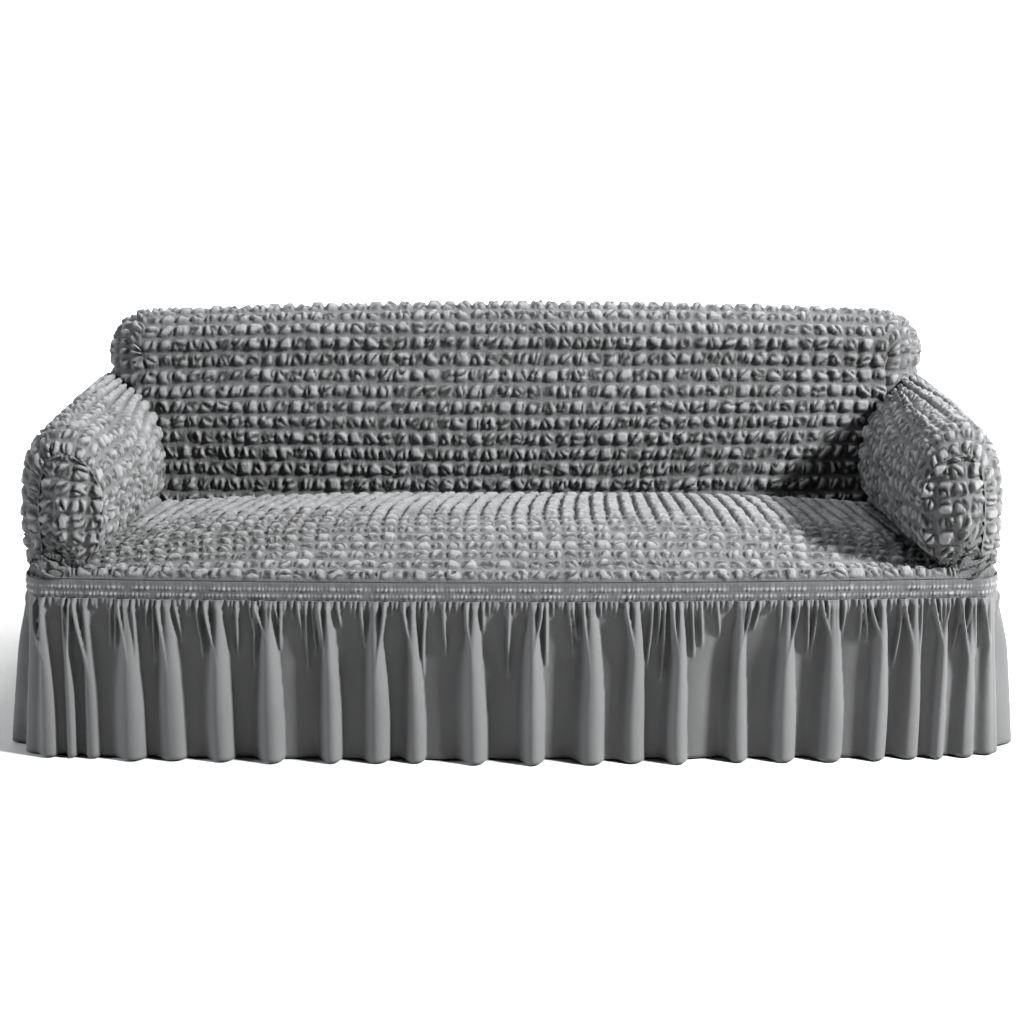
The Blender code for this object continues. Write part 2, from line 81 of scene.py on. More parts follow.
# height, y of the back's face, half width of the back there
BACK_SHAPE = [
    (0.400, FRONT_Y + 0.602, 1.044),
    (0.500, FRONT_Y + 0.626, 1.036),
    (0.600, FRONT_Y + 0.650, 1.027),
    (0.660, FRONT_Y + 0.664, 1.014),
    (0.710, FRONT_Y + 0.676, 1.003),
    (0.755, FRONT_Y + 0.687, 1.009),
    (0.784, FRONT_Y + 0.690, 1.009),
]
# distance behind the front plane, height in the middle, height at the sides
SEAT_SHAPE = [
    (-0.0360, 0.405, 0.405),
    (-0.0350, 0.416, 0.416),
    (-0.0260, 0.427, 0.430),
    (0.000, 0.436, 0.421),
    (0.031, 0.446, 0.424),
    (0.067, 0.456, 0.424),
    (0.140, 0.474, 0.424),
    (0.270, 0.480, 0.424),
    (0.420, 0.472, 0.424),
    (0.530, 0.456, 0.424),
    (0.596, 0.440, 0.424),
]
SEAT_DEPTH = SEAT_SHAPE[-1][0]
SEAT_TUCK = 0.018         # the seat runs this far on into the crease
SEAT_FRONT_HALF, SEAT_REAR_HALF = 0.926, 0.852
SEAT_STRIP_HALF = 1.078   # half length of the strip that runs on under the arms
SEAT_STRIP_TAPER = 1.030  # from here on it tapers to its end
SEAT_TAPER = 0.70         # and loses this share of its height
SEAT_FLATNESS = 3.5       # the higher, the nearer to its sides the seat stays level

# (outward, height) behind the front rounding, and where the arm meets the back
ARM_SECTION = [
    (1.050, 0.408, 1.048, 0.408),
    (1.059, 0.500, 1.048, 0.500),
    (1.052, 0.600, 1.041, 0.600),
    (1.030, 0.670, 1.030, 0.668),
    (0.991, 0.713, 0.999, 0.710),
    (0.938, 0.722, 0.953, 0.694),
    (0.886, 0.700, 0.905, 0.660),
    (0.853, 0.632, 0.864, 0.600),
    (0.846, 0.548, 0.849, 0.525),
    (0.864, 0.476, 0.852, 0.462),
    (0.896, 0.442, 0.866, 0.440),
]
ARM_CENTRE = (0.945, 0.550)
ARM_FRONT_S = 0.012       # seam round the arm's front, behind the front plane
ARM_ROUND_S = 0.110       # where the rounding of the front ends
# at its front seam the section is smaller than behind the rounding: share of the width on the
# outer and inner side, of the height on top, and below on the outer and inner side
ARM_OUTER_SCALE, ARM_INNER_SCALE, ARM_TOP_SCALE = 0.45, 0.82, 0.67
ARM_FOOT_SCALE, ARM_TUCK_SCALE = 0.84, 1.04
ARM_DOME = 0.030
ARM_FRONT_LAP = 0.009     # the front's rim lies this far under the arm's edge
# bearings of the arm's outer foot and of its inner tuck, seen from the middle of its front
FOOT_BEARING, TUCK_BEARING = np.radians(222), np.radians(-45)
FRONT_SAG = 0.022         # the front's lower edge hangs this far down between them
FRONT_RISE = 0.01         # the dome's middle lies this far above the arm's
FRONT_SINK = 0.0009       # the front's rim lies this much deeper
FRONT_FOLD_DEPTH = 0.010
FOLDS_ROUND, FOLDS_OUT = 26, 40           # how fast the folds follow on each other
ARM_EDGE = 0.0006         # the arm's cloth starts this far along
ARM_PUFF, ARM_HALF = 0.008, 0.1           # it swells by this much at half its own width out
# at the back the arm's cloth follows this share of the back's rounding, above and lower down
ARM_SNUG, ARM_LOW_SNUG = 0.72, 0.96
ARM_REAR_GAP = 0.003      # and stays this far in front of it
ARM_ROUNDING = 0.96       # share of a quarter circle that the rounding of the front follows

# skirt: rise from hem to waistband, share of the flare
SKIRT_ROWS = [(0.00, 1.00), (0.58, 0.44), (0.86, 0.14), (1.00, 0.00)]
# main ridges of the front skirt: distance from its left end, depth at the hem
FRONT_FOLDS = [
    (0.035, 0.018), (0.080, 0.022), (0.125, 0.018), (0.215, 0.026), (0.300, 0.025),
    (0.410, 0.031), (0.515, 0.031), (0.645, 0.035), (0.745, 0.028),
    (0.825, 0.028), (0.955, 0.037), (1.080, 0.034), (1.200, 0.035),
    (1.295, 0.026), (1.390, 0.033), (1.520, 0.035), (1.620, 0.030),
    (1.715, 0.031), (1.820, 0.031), (1.890, 0.021), (1.955, 0.021),
    (2.015, 0.021), (2.060, 0.015),
]
HIDDEN_FOLD_PITCH, HIDDEN_FOLD_DEPTH = 0.098, 0.036
HIDDEN_GATHER_SHARE = 0.6     # depth of the other panels' gathers, in depths of the front's
SIDE_FLARE, FRONT_FLARE, REAR_FLARE = 0.042, 0.004, 0.014

# ---- cloth ---------------------------------------------------------------------
CHANNEL_DEPTH = 0.0072    # the smooth channels lie this far under the solids' surface
CLOTH = 0.0011            # thickness of the puffed cloth itself
SKIRT_CLOTH = 0.0016
BAND_CLOTH = 0.003
SEAM = -0.0012            # sewn edges run this far into their seam


# ---- settings ------------------------------------------------------------------
class SlipcoverSettings(bpy.types.PropertyGroup):
    puff_height: FloatProperty(
        name="Puff Height", description="How far each square stands out of the channels",
        default=0.0106, min=0.0, max=0.02, unit="LENGTH")
    puff_fullness: FloatProperty(
        name="Puff Fullness", description="Share of a cell's width that its puff takes up",
        default=0.79, min=0.3, max=1.0, subtype="FACTOR")
    row_fullness: FloatProperty(
        name="Row Fullness", description="Share of a cell's height that its puff takes up",
        default=0.70, min=0.3, max=1.0, subtype="FACTOR")
    crumple: FloatProperty(
        name="Crumple", description="How deeply the top of each puff is creased",
        default=0.66, min=0.0, max=1.0, subtype="FACTOR")
    pucker_height: FloatProperty(
        name="Pucker Height", description="Relief of the shirred waistband",
        default=0.0040, min=0.0, max=0.01, unit="LENGTH")
    gather_depth: FloatProperty(
        name="Gather Depth", description="Depth of the fine gathers under the waistband",
        default=0.0120, min=0.0, max=0.03, unit="LENGTH")
    seed: IntProperty(
        name="Seed", description="Changes which way each puff is creased", default=7, min=0)
    puffed_colour: FloatVectorProperty(
        name="Puffed Cloth", description="Colour of the puffed cloth",
        default=(0.157, 0.159, 0.162), size=3, min=0, max=1, subtype="COLOR")
    band_colour: FloatVectorProperty(
        name="Waistband", description="Colour of the waistband",
        default=(0.164, 0.166, 0.170), size=3, min=0, max=1, subtype="COLOR")
    skirt_colour: FloatVectorProperty(
        name="Skirt", description="Colour of the skirt cloth",
        default=(0.156, 0.158, 0.161), size=3, min=0, max=1, subtype="COLOR")


# ---- curves --------------------------------------------------------------------
def smoothstep(value, low, high):
    t = np.clip((value - low) / (high - low), 0.0, 1.0)
    return t * t * (3.0 - 2.0 * t)


def curve(rows, at):
    """Smooth curve through table rows (key, value, ...), one result per value column."""
    rows = np.asarray(rows, float)
    keys, values = rows[:, 0], rows[:, 1:]
    slopes = np.gradient(values, keys, axis=0)
    at = np.clip(np.asarray(at, float), keys[0], keys[-1])
    i = np.clip(np.searchsorted(keys, at, side="right") - 1, 0, len(keys) - 2)
    span = keys[i + 1] - keys[i]
    t = ((at - keys[i]) / span)[..., None]
    span = span[..., None]
    result = ((1 + 2 * t) * (1 - t) ** 2 * values[i] + t * (1 - t) ** 2 * span * slopes[i]
              + t * t * (3 - 2 * t) * values[i + 1] + t * t * (t - 1) * span * slopes[i + 1])
    return [result[..., k] for k in range(values.shape[1])]


def normals_of(surface, u, v, step):
    """Outward normals of surface(u, v), by central differences."""
    du = surface(u + step, v) - surface(u - step, v)
    dv = surface(u, v + step) - surface(u, v - step)
    normal = np.cross(du, dv)
    return normal / np.maximum(np.linalg.norm(normal, axis=-1, keepdims=True), 1e-12)


def sunk(surface, depth, step=0.01):
    """The same surface, depth further in; depth is a length or a function of u and v."""
    def lower(u, v):
        deep = depth(u, v)[..., None] if callable(depth) else depth
        return surface(u, v) - deep * normals_of(surface, u, v, step)
    return lower


def waves(x, y, seed, count=5, low=1.5, high=6.0):
    """Smooth unevenness between about -1 and 1, the same for the same seed."""
    pick = np.random.default_rng(seed)
    total = np.zeros(np.broadcast(x, y).shape)
    for _ in range(count):
        bearing = pick.uniform(0, 2 * np.pi)
        rate = pick.uniform(low, high)
        total += np.sin(rate * (np.cos(bearing) * x + np.sin(bearing) * y) + pick.uniform(0, 6.28))
    return total / np.sqrt(count)


# ---- surfaces of the base ------------------------------------------------------
def base_outline():
    """Plan of the waistband, once round from the middle of the front left corner, with the
    length run so far at each point."""
    inner_x = HALF_WIDTH - BASE_CORNER
    low_y, high_y = FRONT_Y + BASE_CORNER, REAR_Y - BASE_CORNER
    # corner centre, and the bearings its arc runs between
    arcs = [(-inner_x, low_y, 225, 270), (inner_x, low_y, 270, 360), (inner_x, high_y, 0, 90),
            (-inner_x, high_y, 90, 180), (-inner_x, low_y, 180, 225)]
    points = []
    for centre_x, centre_y, start, end in arcs:
        bearing = np.radians(np.linspace(start, end, 13))
        arc = np.stack([np.cos(bearing), np.sin(bearing)], axis=1) * BASE_CORNER
        arc += (centre_x, centre_y)
        if points:
            steps = int(np.linalg.norm(arc[0] - points[-1]) / 0.02)
            points.extend(np.linspace(points[-1], arc[0], steps)[1:-1])
        points.extend(arc)
    outline = np.array(points)
    bow = FRONT_BOW * np.clip(1 - (outline[:, 0] / HALF_WIDTH) ** 2, 0, 1)
    outline[:, 1] -= bow * (outline[:, 1] < low_y - 0.0005)
    steps = np.linalg.norm(np.diff(outline, axis=0), axis=1)
    return outline, np.concatenate([[0], np.cumsum(steps)])


OUTLINE, OUTLINE_LENGTH = base_outline()
ROUND = OUTLINE_LENGTH[-1]


def base_point(along, out=0.0):
    """x and y of a point on the base plan, moved outwards by out."""
    def at(length):
        length = np.mod(length, ROUND)
        return (np.interp(length, OUTLINE_LENGTH, OUTLINE[:, 0]),
                np.interp(length, OUTLINE_LENGTH, OUTLINE[:, 1]))

    x, y = at(along)
    ahead, behind = at(along + PLAN_STEP), at(along - PLAN_STEP)
    run_x, run_y = ahead[0] - behind[0], ahead[1] - behind[1]
    size = np.hypot(run_x, run_y)
    return x + out * run_y / size, y - out * run_x / size


def corner_lengths():
    """Places along the base plan of the four corner middles, starting at the front left."""
    reach = BASE_CORNER * (1 - np.sqrt(0.5))
    right, front, rear = HALF_WIDTH - reach, FRONT_Y + reach, REAR_Y - reach
    away = [np.linalg.norm(OUTLINE - corner, axis=1)
            for corner in ((right, front), (right, rear), (-right, rear))]
    return [0.0, *(OUTLINE_LENGTH[np.argmin(each)] for each in away), ROUND]


CORNERS = corner_lengths()
FRONT_MIDDLE = (CORNERS[0] + CORNERS[1]) / 2


# ---- surfaces of the back ------------------------------------------------------
def sag(x, z):
    """How far the top of the back sinks."""
    return TOP_SAG * (x / BACK_FLAT_HALF) ** 2 * smoothstep(z, 0.50, BACK_TOP_Z)


def shift(z):
    """How far the back sits to the right."""
    return BACK_SHIFT * smoothstep(z, 0.60, BACK_TOP_Z)


def crown(x, z):
    """The face bulges forward between the ends and between crease and top."""
    across = np.clip(1 - (x / BACK_FLAT_HALF) ** 2, 0, 1)
    height = np.clip((z - CREASE_Z) / (BACK_TOP_Z - CREASE_Z), 0, 1)
    return BACK_CROWN * across * np.sin(np.pi * height)


def back_face_y(z):
    return curve(BACK_SHAPE, z)[0]


FACE_LENGTH = np.hypot(BACK_TOP_Z - CREASE_Z, back_face_y(BACK_TOP_Z) - back_face_y(CREASE_Z))


def inside_back_surface(across, up):
    """across: metres from the middle, measured over the rounded ends; up: metres from the
    crease, up the face and over the top roll."""
    face_z = CREASE_Z + (BACK_TOP_Z - CREASE_Z) * np.clip(up / FACE_LENGTH, -0.1, 1)
    roll = np.clip(up - FACE_LENGTH, 0, None) / BACK_EDGE_RADIUS
    turn = np.clip(np.abs(across) - BACK_FLAT_HALF, 0, None) / BACK_EDGE_RADIUS
    radius = BACK_EDGE_RADIUS * np.cos(turn)
    out = np.minimum(np.abs(across), BACK_FLAT_HALF) + BACK_EDGE_RADIUS * np.sin(turn)
    x = np.sign(across) * out
    y = back_face_y(face_z) + BACK_EDGE_RADIUS - radius * np.cos(roll)
    z = face_z + radius * np.sin(roll)
    y = y - crown(x, face_z)
    return np.stack([x + shift(z), y, z - sag(x, z)], axis=-1)


def outside_back_surface(station, z):
    """station 0 is the rear middle; 1 and 2 the rear rounding's ends, 3 and 4 the front
    rounding's ends, with the flat side between 2 and 3; negative on the left."""
    side, s = np.sign(station), np.abs(station)
    face_y, half = curve(BACK_SHAPE, z)
    rise = np.clip((z - BAND_TOP_Z) / (BACK_TOP_Z - BAND_TOP_Z), 0, 1)
    rear_radius = BASE_CORNER + (BACK_EDGE_RADIUS - BASE_CORNER) * rise
    rear_turn = np.clip(s - 1, 0, 1) * np.pi / 2
    front_turn = np.clip(s - 3, 0, 1) * np.pi / 2
    x = (np.clip(s, 0, 1) * (half - rear_radius) + rear_radius * np.sin(rear_turn)
         - (half - BACK_FLAT_HALF) * (1 - np.cos(front_turn)))
    rear_corner_y = REAR_Y - rear_radius
    front_corner_y = face_y + BACK_EDGE_RADIUS
    y = (REAR_Y - rear_radius * (1 - np.cos(rear_turn))
         - np.clip(s - 2, 0, 1) * (rear_corner_y - front_corner_y)
         - BACK_EDGE_RADIUS * np.sin(front_turn))
    x = side * x
    return np.stack([x + shift(z), y, z - sag(x, z)], axis=-1)


# ---- surfaces of the seat and arms ---------------------------------------------
SEAT_PROFILE = np.array(SEAT_SHAPE)
SEAT_LENGTH = np.concatenate([[0], np.cumsum(np.hypot(np.diff(SEAT_PROFILE[:, 0]),
                                                      np.diff(SEAT_PROFILE[:, 1])))])
SEAT_CURVE = np.column_stack([SEAT_LENGTH, SEAT_PROFILE])
STRIP_LENGTH = 0.5 * (SEAT_LENGTH[2] + SEAT_LENGTH[3])


def seat_half(depth):
    """Half width of the seat at a distance behind the front plane."""
    return SEAT_FRONT_HALF + (SEAT_REAR_HALF - SEAT_FRONT_HALF) * np.clip(depth / SEAT_DEPTH, 0, 1)


def seat_surface(across, back):
    """across: metres from the middle; back: metres along the profile from the waistband."""
    depth, middle_z, side_z = curve(SEAT_CURVE, back)
    edge = np.clip(np.abs(across) / seat_half(depth), 0, 1) ** SEAT_FLATNESS
    z = middle_z * (1 - edge) + side_z * edge
    end = SEAT_SHAPE[0][1]
    taper = smoothstep(np.abs(across), SEAT_STRIP_TAPER - 0.02, SEAT_STRIP_HALF)
    z = end + (z - end) * (1 - SEAT_TAPER * taper)
    strip_x, strip_y = base_point(FRONT_MIDDLE + across, -(depth + FRONT_BOW))
    bow = FRONT_BOW * np.clip(1 - (across / HALF_WIDTH) ** 2, 0, 1)
    near = 1 - smoothstep(depth, 0.0, 0.45)
    seat_y = FRONT_Y + depth + (FRONT_BOW - bow) * near
    strip = back <= STRIP_LENGTH + 1e-6
    return np.stack([np.where(strip, strip_x, across), np.where(strip, strip_y, seat_y), z], axis=-1)


ARM_STEPS = np.arange(len(ARM_SECTION)) / (len(ARM_SECTION) - 1)
ARM_CURVE = np.column_stack([ARM_STEPS, ARM_SECTION])


def arm_rear_y(out, z):
    """Where the arm's cloth ends at the back: just in front of the back's surface."""
    face_y, half = curve(BACK_SHAPE, np.clip(z, 0.40, BACK_TOP_Z))
    into = np.clip((out - BACK_FLAT_HALF) / (half - BACK_FLAT_HALF), 0, 0.98)
    snug = ARM_SNUG + (ARM_LOW_SNUG - ARM_SNUG) * (1 - smoothstep(z, 0.60, 0.67))
    return face_y + snug * BACK_EDGE_RADIUS * (1 - np.sqrt(1 - into ** 2)) - ARM_REAR_GAP


def arm_surface(side, around, along):
    """around: 0 outer foot to 1 inner tuck; along: 0 front seam to 1 at the back."""
    front_out, front_z, rear_out, rear_z = curve(ARM_CURVE, around)
    start_y = FRONT_Y + ARM_FRONT_S
    end_y = arm_rear_y(rear_out, rear_z)
    y = start_y + (end_y - start_y) * along
    t = np.clip(along, 0, 1)
    puff = ARM_PUFF * np.sin(np.pi * t) ** 2
    out = front_out + (rear_out - front_out) * t
    z = front_z + (rear_z - front_z) * t
    out = out + puff * (out - ARM_CENTRE[0]) / ARM_HALF
    q = np.clip((FRONT_Y + ARM_ROUND_S - y) / (ARM_ROUND_S - ARM_FRONT_S), 0, 1) * ARM_ROUNDING
    shrink = (1 - np.sqrt(1 - q * q)) / (1 - np.sqrt(1 - ARM_ROUNDING ** 2))
    outer = smoothstep(out - ARM_CENTRE[0], -0.05, 0.08)
    below = ARM_TUCK_SCALE + (ARM_FOOT_SCALE - ARM_TUCK_SCALE) * outer
    scale_z = np.where(z > ARM_CENTRE[1], ARM_TOP_SCALE, below)
    scale_out = np.where(out > ARM_CENTRE[0], ARM_OUTER_SCALE, ARM_INNER_SCALE)
    out = ARM_CENTRE[0] + (out - ARM_CENTRE[0]) * (1 - (1 - scale_out) * shrink)
    z = ARM_CENTRE[1] + (z - ARM_CENTRE[1]) * (1 - (1 - scale_z) * shrink)
    return np.stack([side * out, y, z], axis=-1)


def arm_edge(side, around):
    """The arm's front edge, where its cloth lies at the bottom of the channels."""
    def behind(u, v):
        return arm_surface(side, u, np.maximum(v, ARM_EDGE))
    at = np.full_like(around, ARM_EDGE)
    outward = -side * normals_of(behind, around, at, 0.0005)
    return behind(around, at) - CHANNEL_DEPTH * outward


def front_folds(side, place):
    """Folds that the pull of the seat draws out of the front's lower inner corner: their
    strength at a point, and how far across them it lies."""
    tuck = arm_edge(side, np.ones(1))[0]
    out, up = side * (place[..., 0] - tuck[0]), place[..., 2] - tuck[2]
    reach = np.hypot(out, up)
    bearing = np.arctan2(up, out)
    strength = smoothstep(reach, 0.004, 0.020) * (1 - smoothstep(reach, 0.085, 0.160))
    strength = strength * (1 - smoothstep(bearing, 0.65, 1.10))
    return strength, FOLDS_ROUND * bearing + FOLDS_OUT * reach


def arm_front_surface(side, a, b):
    """Domed panel inside the arm's front seam; a and b from -1 to 1 over a square."""
    # the square is pressed onto a disc, whose rim is then matched to the seam's outline
    a, b = -side * np.clip(a, -1, 1), np.clip(b, -1, 1)
    da, db = a * np.sqrt(1 - b * b / 2), b * np.sqrt(1 - a * a / 2)
    radius = np.hypot(da, db)
    bearing = np.arctan2(db, da)
    turn = np.mod(bearing - TUCK_BEARING, 2 * np.pi)
    over = FOOT_BEARING - TUCK_BEARING
    on_arm = np.clip(1 - turn / over, 0, 1)
    under = np.clip((turn - over) / (2 * np.pi - over), 0, 1)[..., None]
    foot_point = arm_edge(side, np.zeros(1))[0]
    tuck_point = arm_edge(side, np.ones(1))[0]
    lower = foot_point + (tuck_point - foot_point) * under
    lower[..., 2] -= FRONT_SAG * np.sin(np.pi * under[..., 0]) ** 0.5
    rim = np.where(turn[..., None] <= over, arm_edge(side, on_arm), lower)
    centre = np.array([side * ARM_CENTRE[0], FRONT_Y + ARM_FRONT_S + CHANNEL_DEPTH,
                       ARM_CENTRE[1] + FRONT_RISE])
    lap = 1 + ARM_FRONT_LAP / np.hypot(*np.moveaxis((rim - centre)[..., ::2], -1, 0))
    flat = centre + (rim - centre) * (radius * lap)[..., None]
    swell = 1 - radius ** 2
    flat[..., 1] -= ARM_DOME * (0.3 * swell + 0.7 * swell ** 2)
    flat[..., 1] += FRONT_SINK * smoothstep(radius, 0.92, 0.96)
    strength, across = front_folds(side, flat)
    flat[..., 1] -= FRONT_FOLD_DEPTH * strength * (np.abs(np.sin(across / 2)) ** 0.8 - 0.5)
    return flat


# ---- cloth meshes --------------------------------------------------------------
# the four sides of an interval of the cloth: the two corners that its edge runs between, and
# the neighbour beyond it
INTERVAL_SIDES = [((1, 0), (0, 0), (0, -1)), ((0, 1), (1, 1), (0, 1)),
                  ((0, 0), (0, 1), (-1, 0)), ((1, 1), (1, 0), (1, 0))]


def finer(lines, steps):
    """The lines with each interval cut into equal steps."""
    parts = [np.linspace(a, b, steps + 1)[:-1] for a, b in zip(lines, lines[1:])]
    return np.concatenate(parts + [[lines[-1]]])


def plain_cells(column, row):
    """Full puffs everywhere: column, row, lift, stretch."""
    return column, row, np.ones_like(row), np.zeros_like(row)


def placed(name, data):
    """A new object in the scene."""
    made = bpy.data.objects.new(name, data)
    bpy.context.scene.collection.objects.link(made)
    return made


def cloth(name, outer, inner, columns, rows, steps, keep=None, ring=False, cells=plain_cells):
    """Closed sheet of cloth.  Its outer layer has `steps` quads along each interval of
    columns and rows, its inner layer one.  keep marks the intervals that are cloth.  Each
    outer point carries its column, row and lift in the attribute "cells", and in "stretch"
    how far the puffs there run together along their column."""
    nu, nv = len(columns) - 1, len(rows) - 1
    su, sv = steps
    u, v = np.meshgrid(finer(columns, su), finer(rows, sv), indexing="ij")
    cu, cv = np.meshgrid(columns, rows, indexing="ij")
    points = np.concatenate([outer(u, v).reshape(-1, 3), inner(cu, cv).reshape(-1, 3)])
    marks = np.zeros((len(points), 4))
    marks[:u.size] = np.stack(cells(u, v), axis=-1).reshape(-1, 4)
    keep = np.ones((nu, nv), bool) if keep is None else keep
    kept = np.pad(keep, 1)
    if ring:
        kept[0], kept[-1] = kept[-2], kept[1]

    def fine(i, j):
        return (i % (nu * su) if ring else i) * (nv * sv + 1) + j

    def coarse(i, j):
        return u.size + (i % nu if ring else i) * (nv + 1) + j

    faces = []
    for i, j in zip(*np.nonzero(keep)):
        for p in range(i * su, (i + 1) * su):
            for q in range(j * sv, (j + 1) * sv):
                faces.append((fine(p, q), fine(p + 1, q), fine(p + 1, q + 1), fine(p, q + 1)))
        faces.append((coarse(i, j), coarse(i, j + 1), coarse(i + 1, j + 1), coarse(i + 1, j)))
        # where the cloth ends, a rim joins the two layers
        for (ai, aj), (bi, bj), (ni, nj) in INTERVAL_SIDES:
            if not kept[i + 1 + ni, j + 1 + nj]:
                edge = [fine((i + ai) * su + (bi - ai) * k, (j + aj) * sv + (bj - aj) * k)
                        for k in range((su if aj == bj else sv) + 1)]
                faces.append(edge + [coarse(i + bi, j + bj), coarse(i + ai, j + aj)])

    # points that no face uses are left out
    used = np.zeros(len(points), bool)
    used[[k for face in faces for k in face]] = True
    place = (np.cumsum(used) - 1).tolist()
    mesh = bpy.data.meshes.new(name)
    mesh.from_pydata(points[used], [], [[place[k] for k in face] for face in faces])
    for label, kind, field, values in (("cells", "FLOAT_VECTOR", "vector", marks[used, :3]),
                                       ("stretch", "FLOAT", "value", marks[used, 3])):
        mesh.attributes.new(label, kind, "POINT").data.foreach_set(field, values.ravel())
    mesh.shade_smooth()
    return placed(name, mesh)


def apply_tree(piece, tree, values):
    """Makes the piece the plain mesh that the Geometry Nodes tree turns it into."""
    modifier = piece.modifiers.new(tree.name, "NODES")
    modifier.node_group = tree
    for socket in tree.interface.items_tree:
        if socket.name in values:
            modifier[socket.identifier] = values[socket.name]
    piece.update_tag()
    depsgraph = bpy.context.evaluated_depsgraph_get()
    made = bpy.data.meshes.new_from_object(piece.evaluated_get(depsgraph), depsgraph=depsgraph)
    piece.modifiers.remove(modifier)
    old, name = piece.data, piece.data.name
    piece.data = made
    bpy.data.meshes.remove(old)
    made.name = name


def hand_over(piece, node):
    """The finished piece rides on the body and stands for its solid."""
    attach(piece, "root")
    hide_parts(node)


# ---- node trees ----------------------------------------------------------------
class Nodes:
    """Short calls for filling a node tree."""

    def __init__(self, tree):
        self.tree = tree
        tree.nodes.clear()

    def add(self, kind, *inputs, into=None, **settings):
        """A node with its settings.  The inputs in use are linked or set in order, and
        those in the dictionary into by their name."""
        made = self.tree.nodes.new(kind)
        for key, value in settings.items():
            setattr(made, key, value)
        in_use = [socket for socket in made.inputs if socket.enabled]
        named = [(made.inputs[name], value) for name, value in (into or {}).items()]
        for socket, value in [*zip(in_use, inputs), *named]:
            if isinstance(value, bpy.types.NodeSocket):
                self.tree.links.new(value, socket)
            else:
                socket.default_value = value
        return made

    def math(self, operation, *inputs, clamp=False):
        return self.add("ShaderNodeMath", *inputs, operation=operation, use_clamp=clamp).outputs[0]

    def times(self, a, b, clamp=False):
        return self.math("MULTIPLY", a, b, clamp=clamp)

    def less(self, a, b):
        return self.math("SUBTRACT", a, b)

    def line(self, value, slope, start):
        """start + slope * value"""
        return self.math("MULTIPLY_ADD", value, slope, start)

    def vector(self, operation, *inputs):
        """A Vector Math node; SCALE takes its factor as the second input."""
        return self.add("ShaderNodeVectorMath", *inputs, operation=operation).outputs[0]

    def ramp(self, value, low, high, to_low=0.0, to_high=1.0):
        """Smooth step of value from low to high."""
        return self.add("ShaderNodeMapRange", value, low, high, to_low, to_high,
                        interpolation_type="SMOOTHSTEP").outputs[0]

    def noise(self, vector, scale, detail=2.0, roughness=0.5, output="Fac"):
        return self.add("ShaderNodeTexNoise", noise_dimensions="3D", into={
            "Vector": vector, "Scale": scale, "Detail": detail,
            "Roughness": roughness}).outputs[output]

    def attribute(self, name):
        """A material's view of an attribute of the mesh."""
        return self.add("ShaderNodeAttribute", attribute_name=name).outputs["Fac"]


PUFF_INPUTS = {"Height": "Float", "Fullness": "Float", "Row Fullness": "Float",
               "Softness": "Float", "Crumple": "Float", "Unevenness": "Float",
               "Seed": "Int", "Material": "Material"}


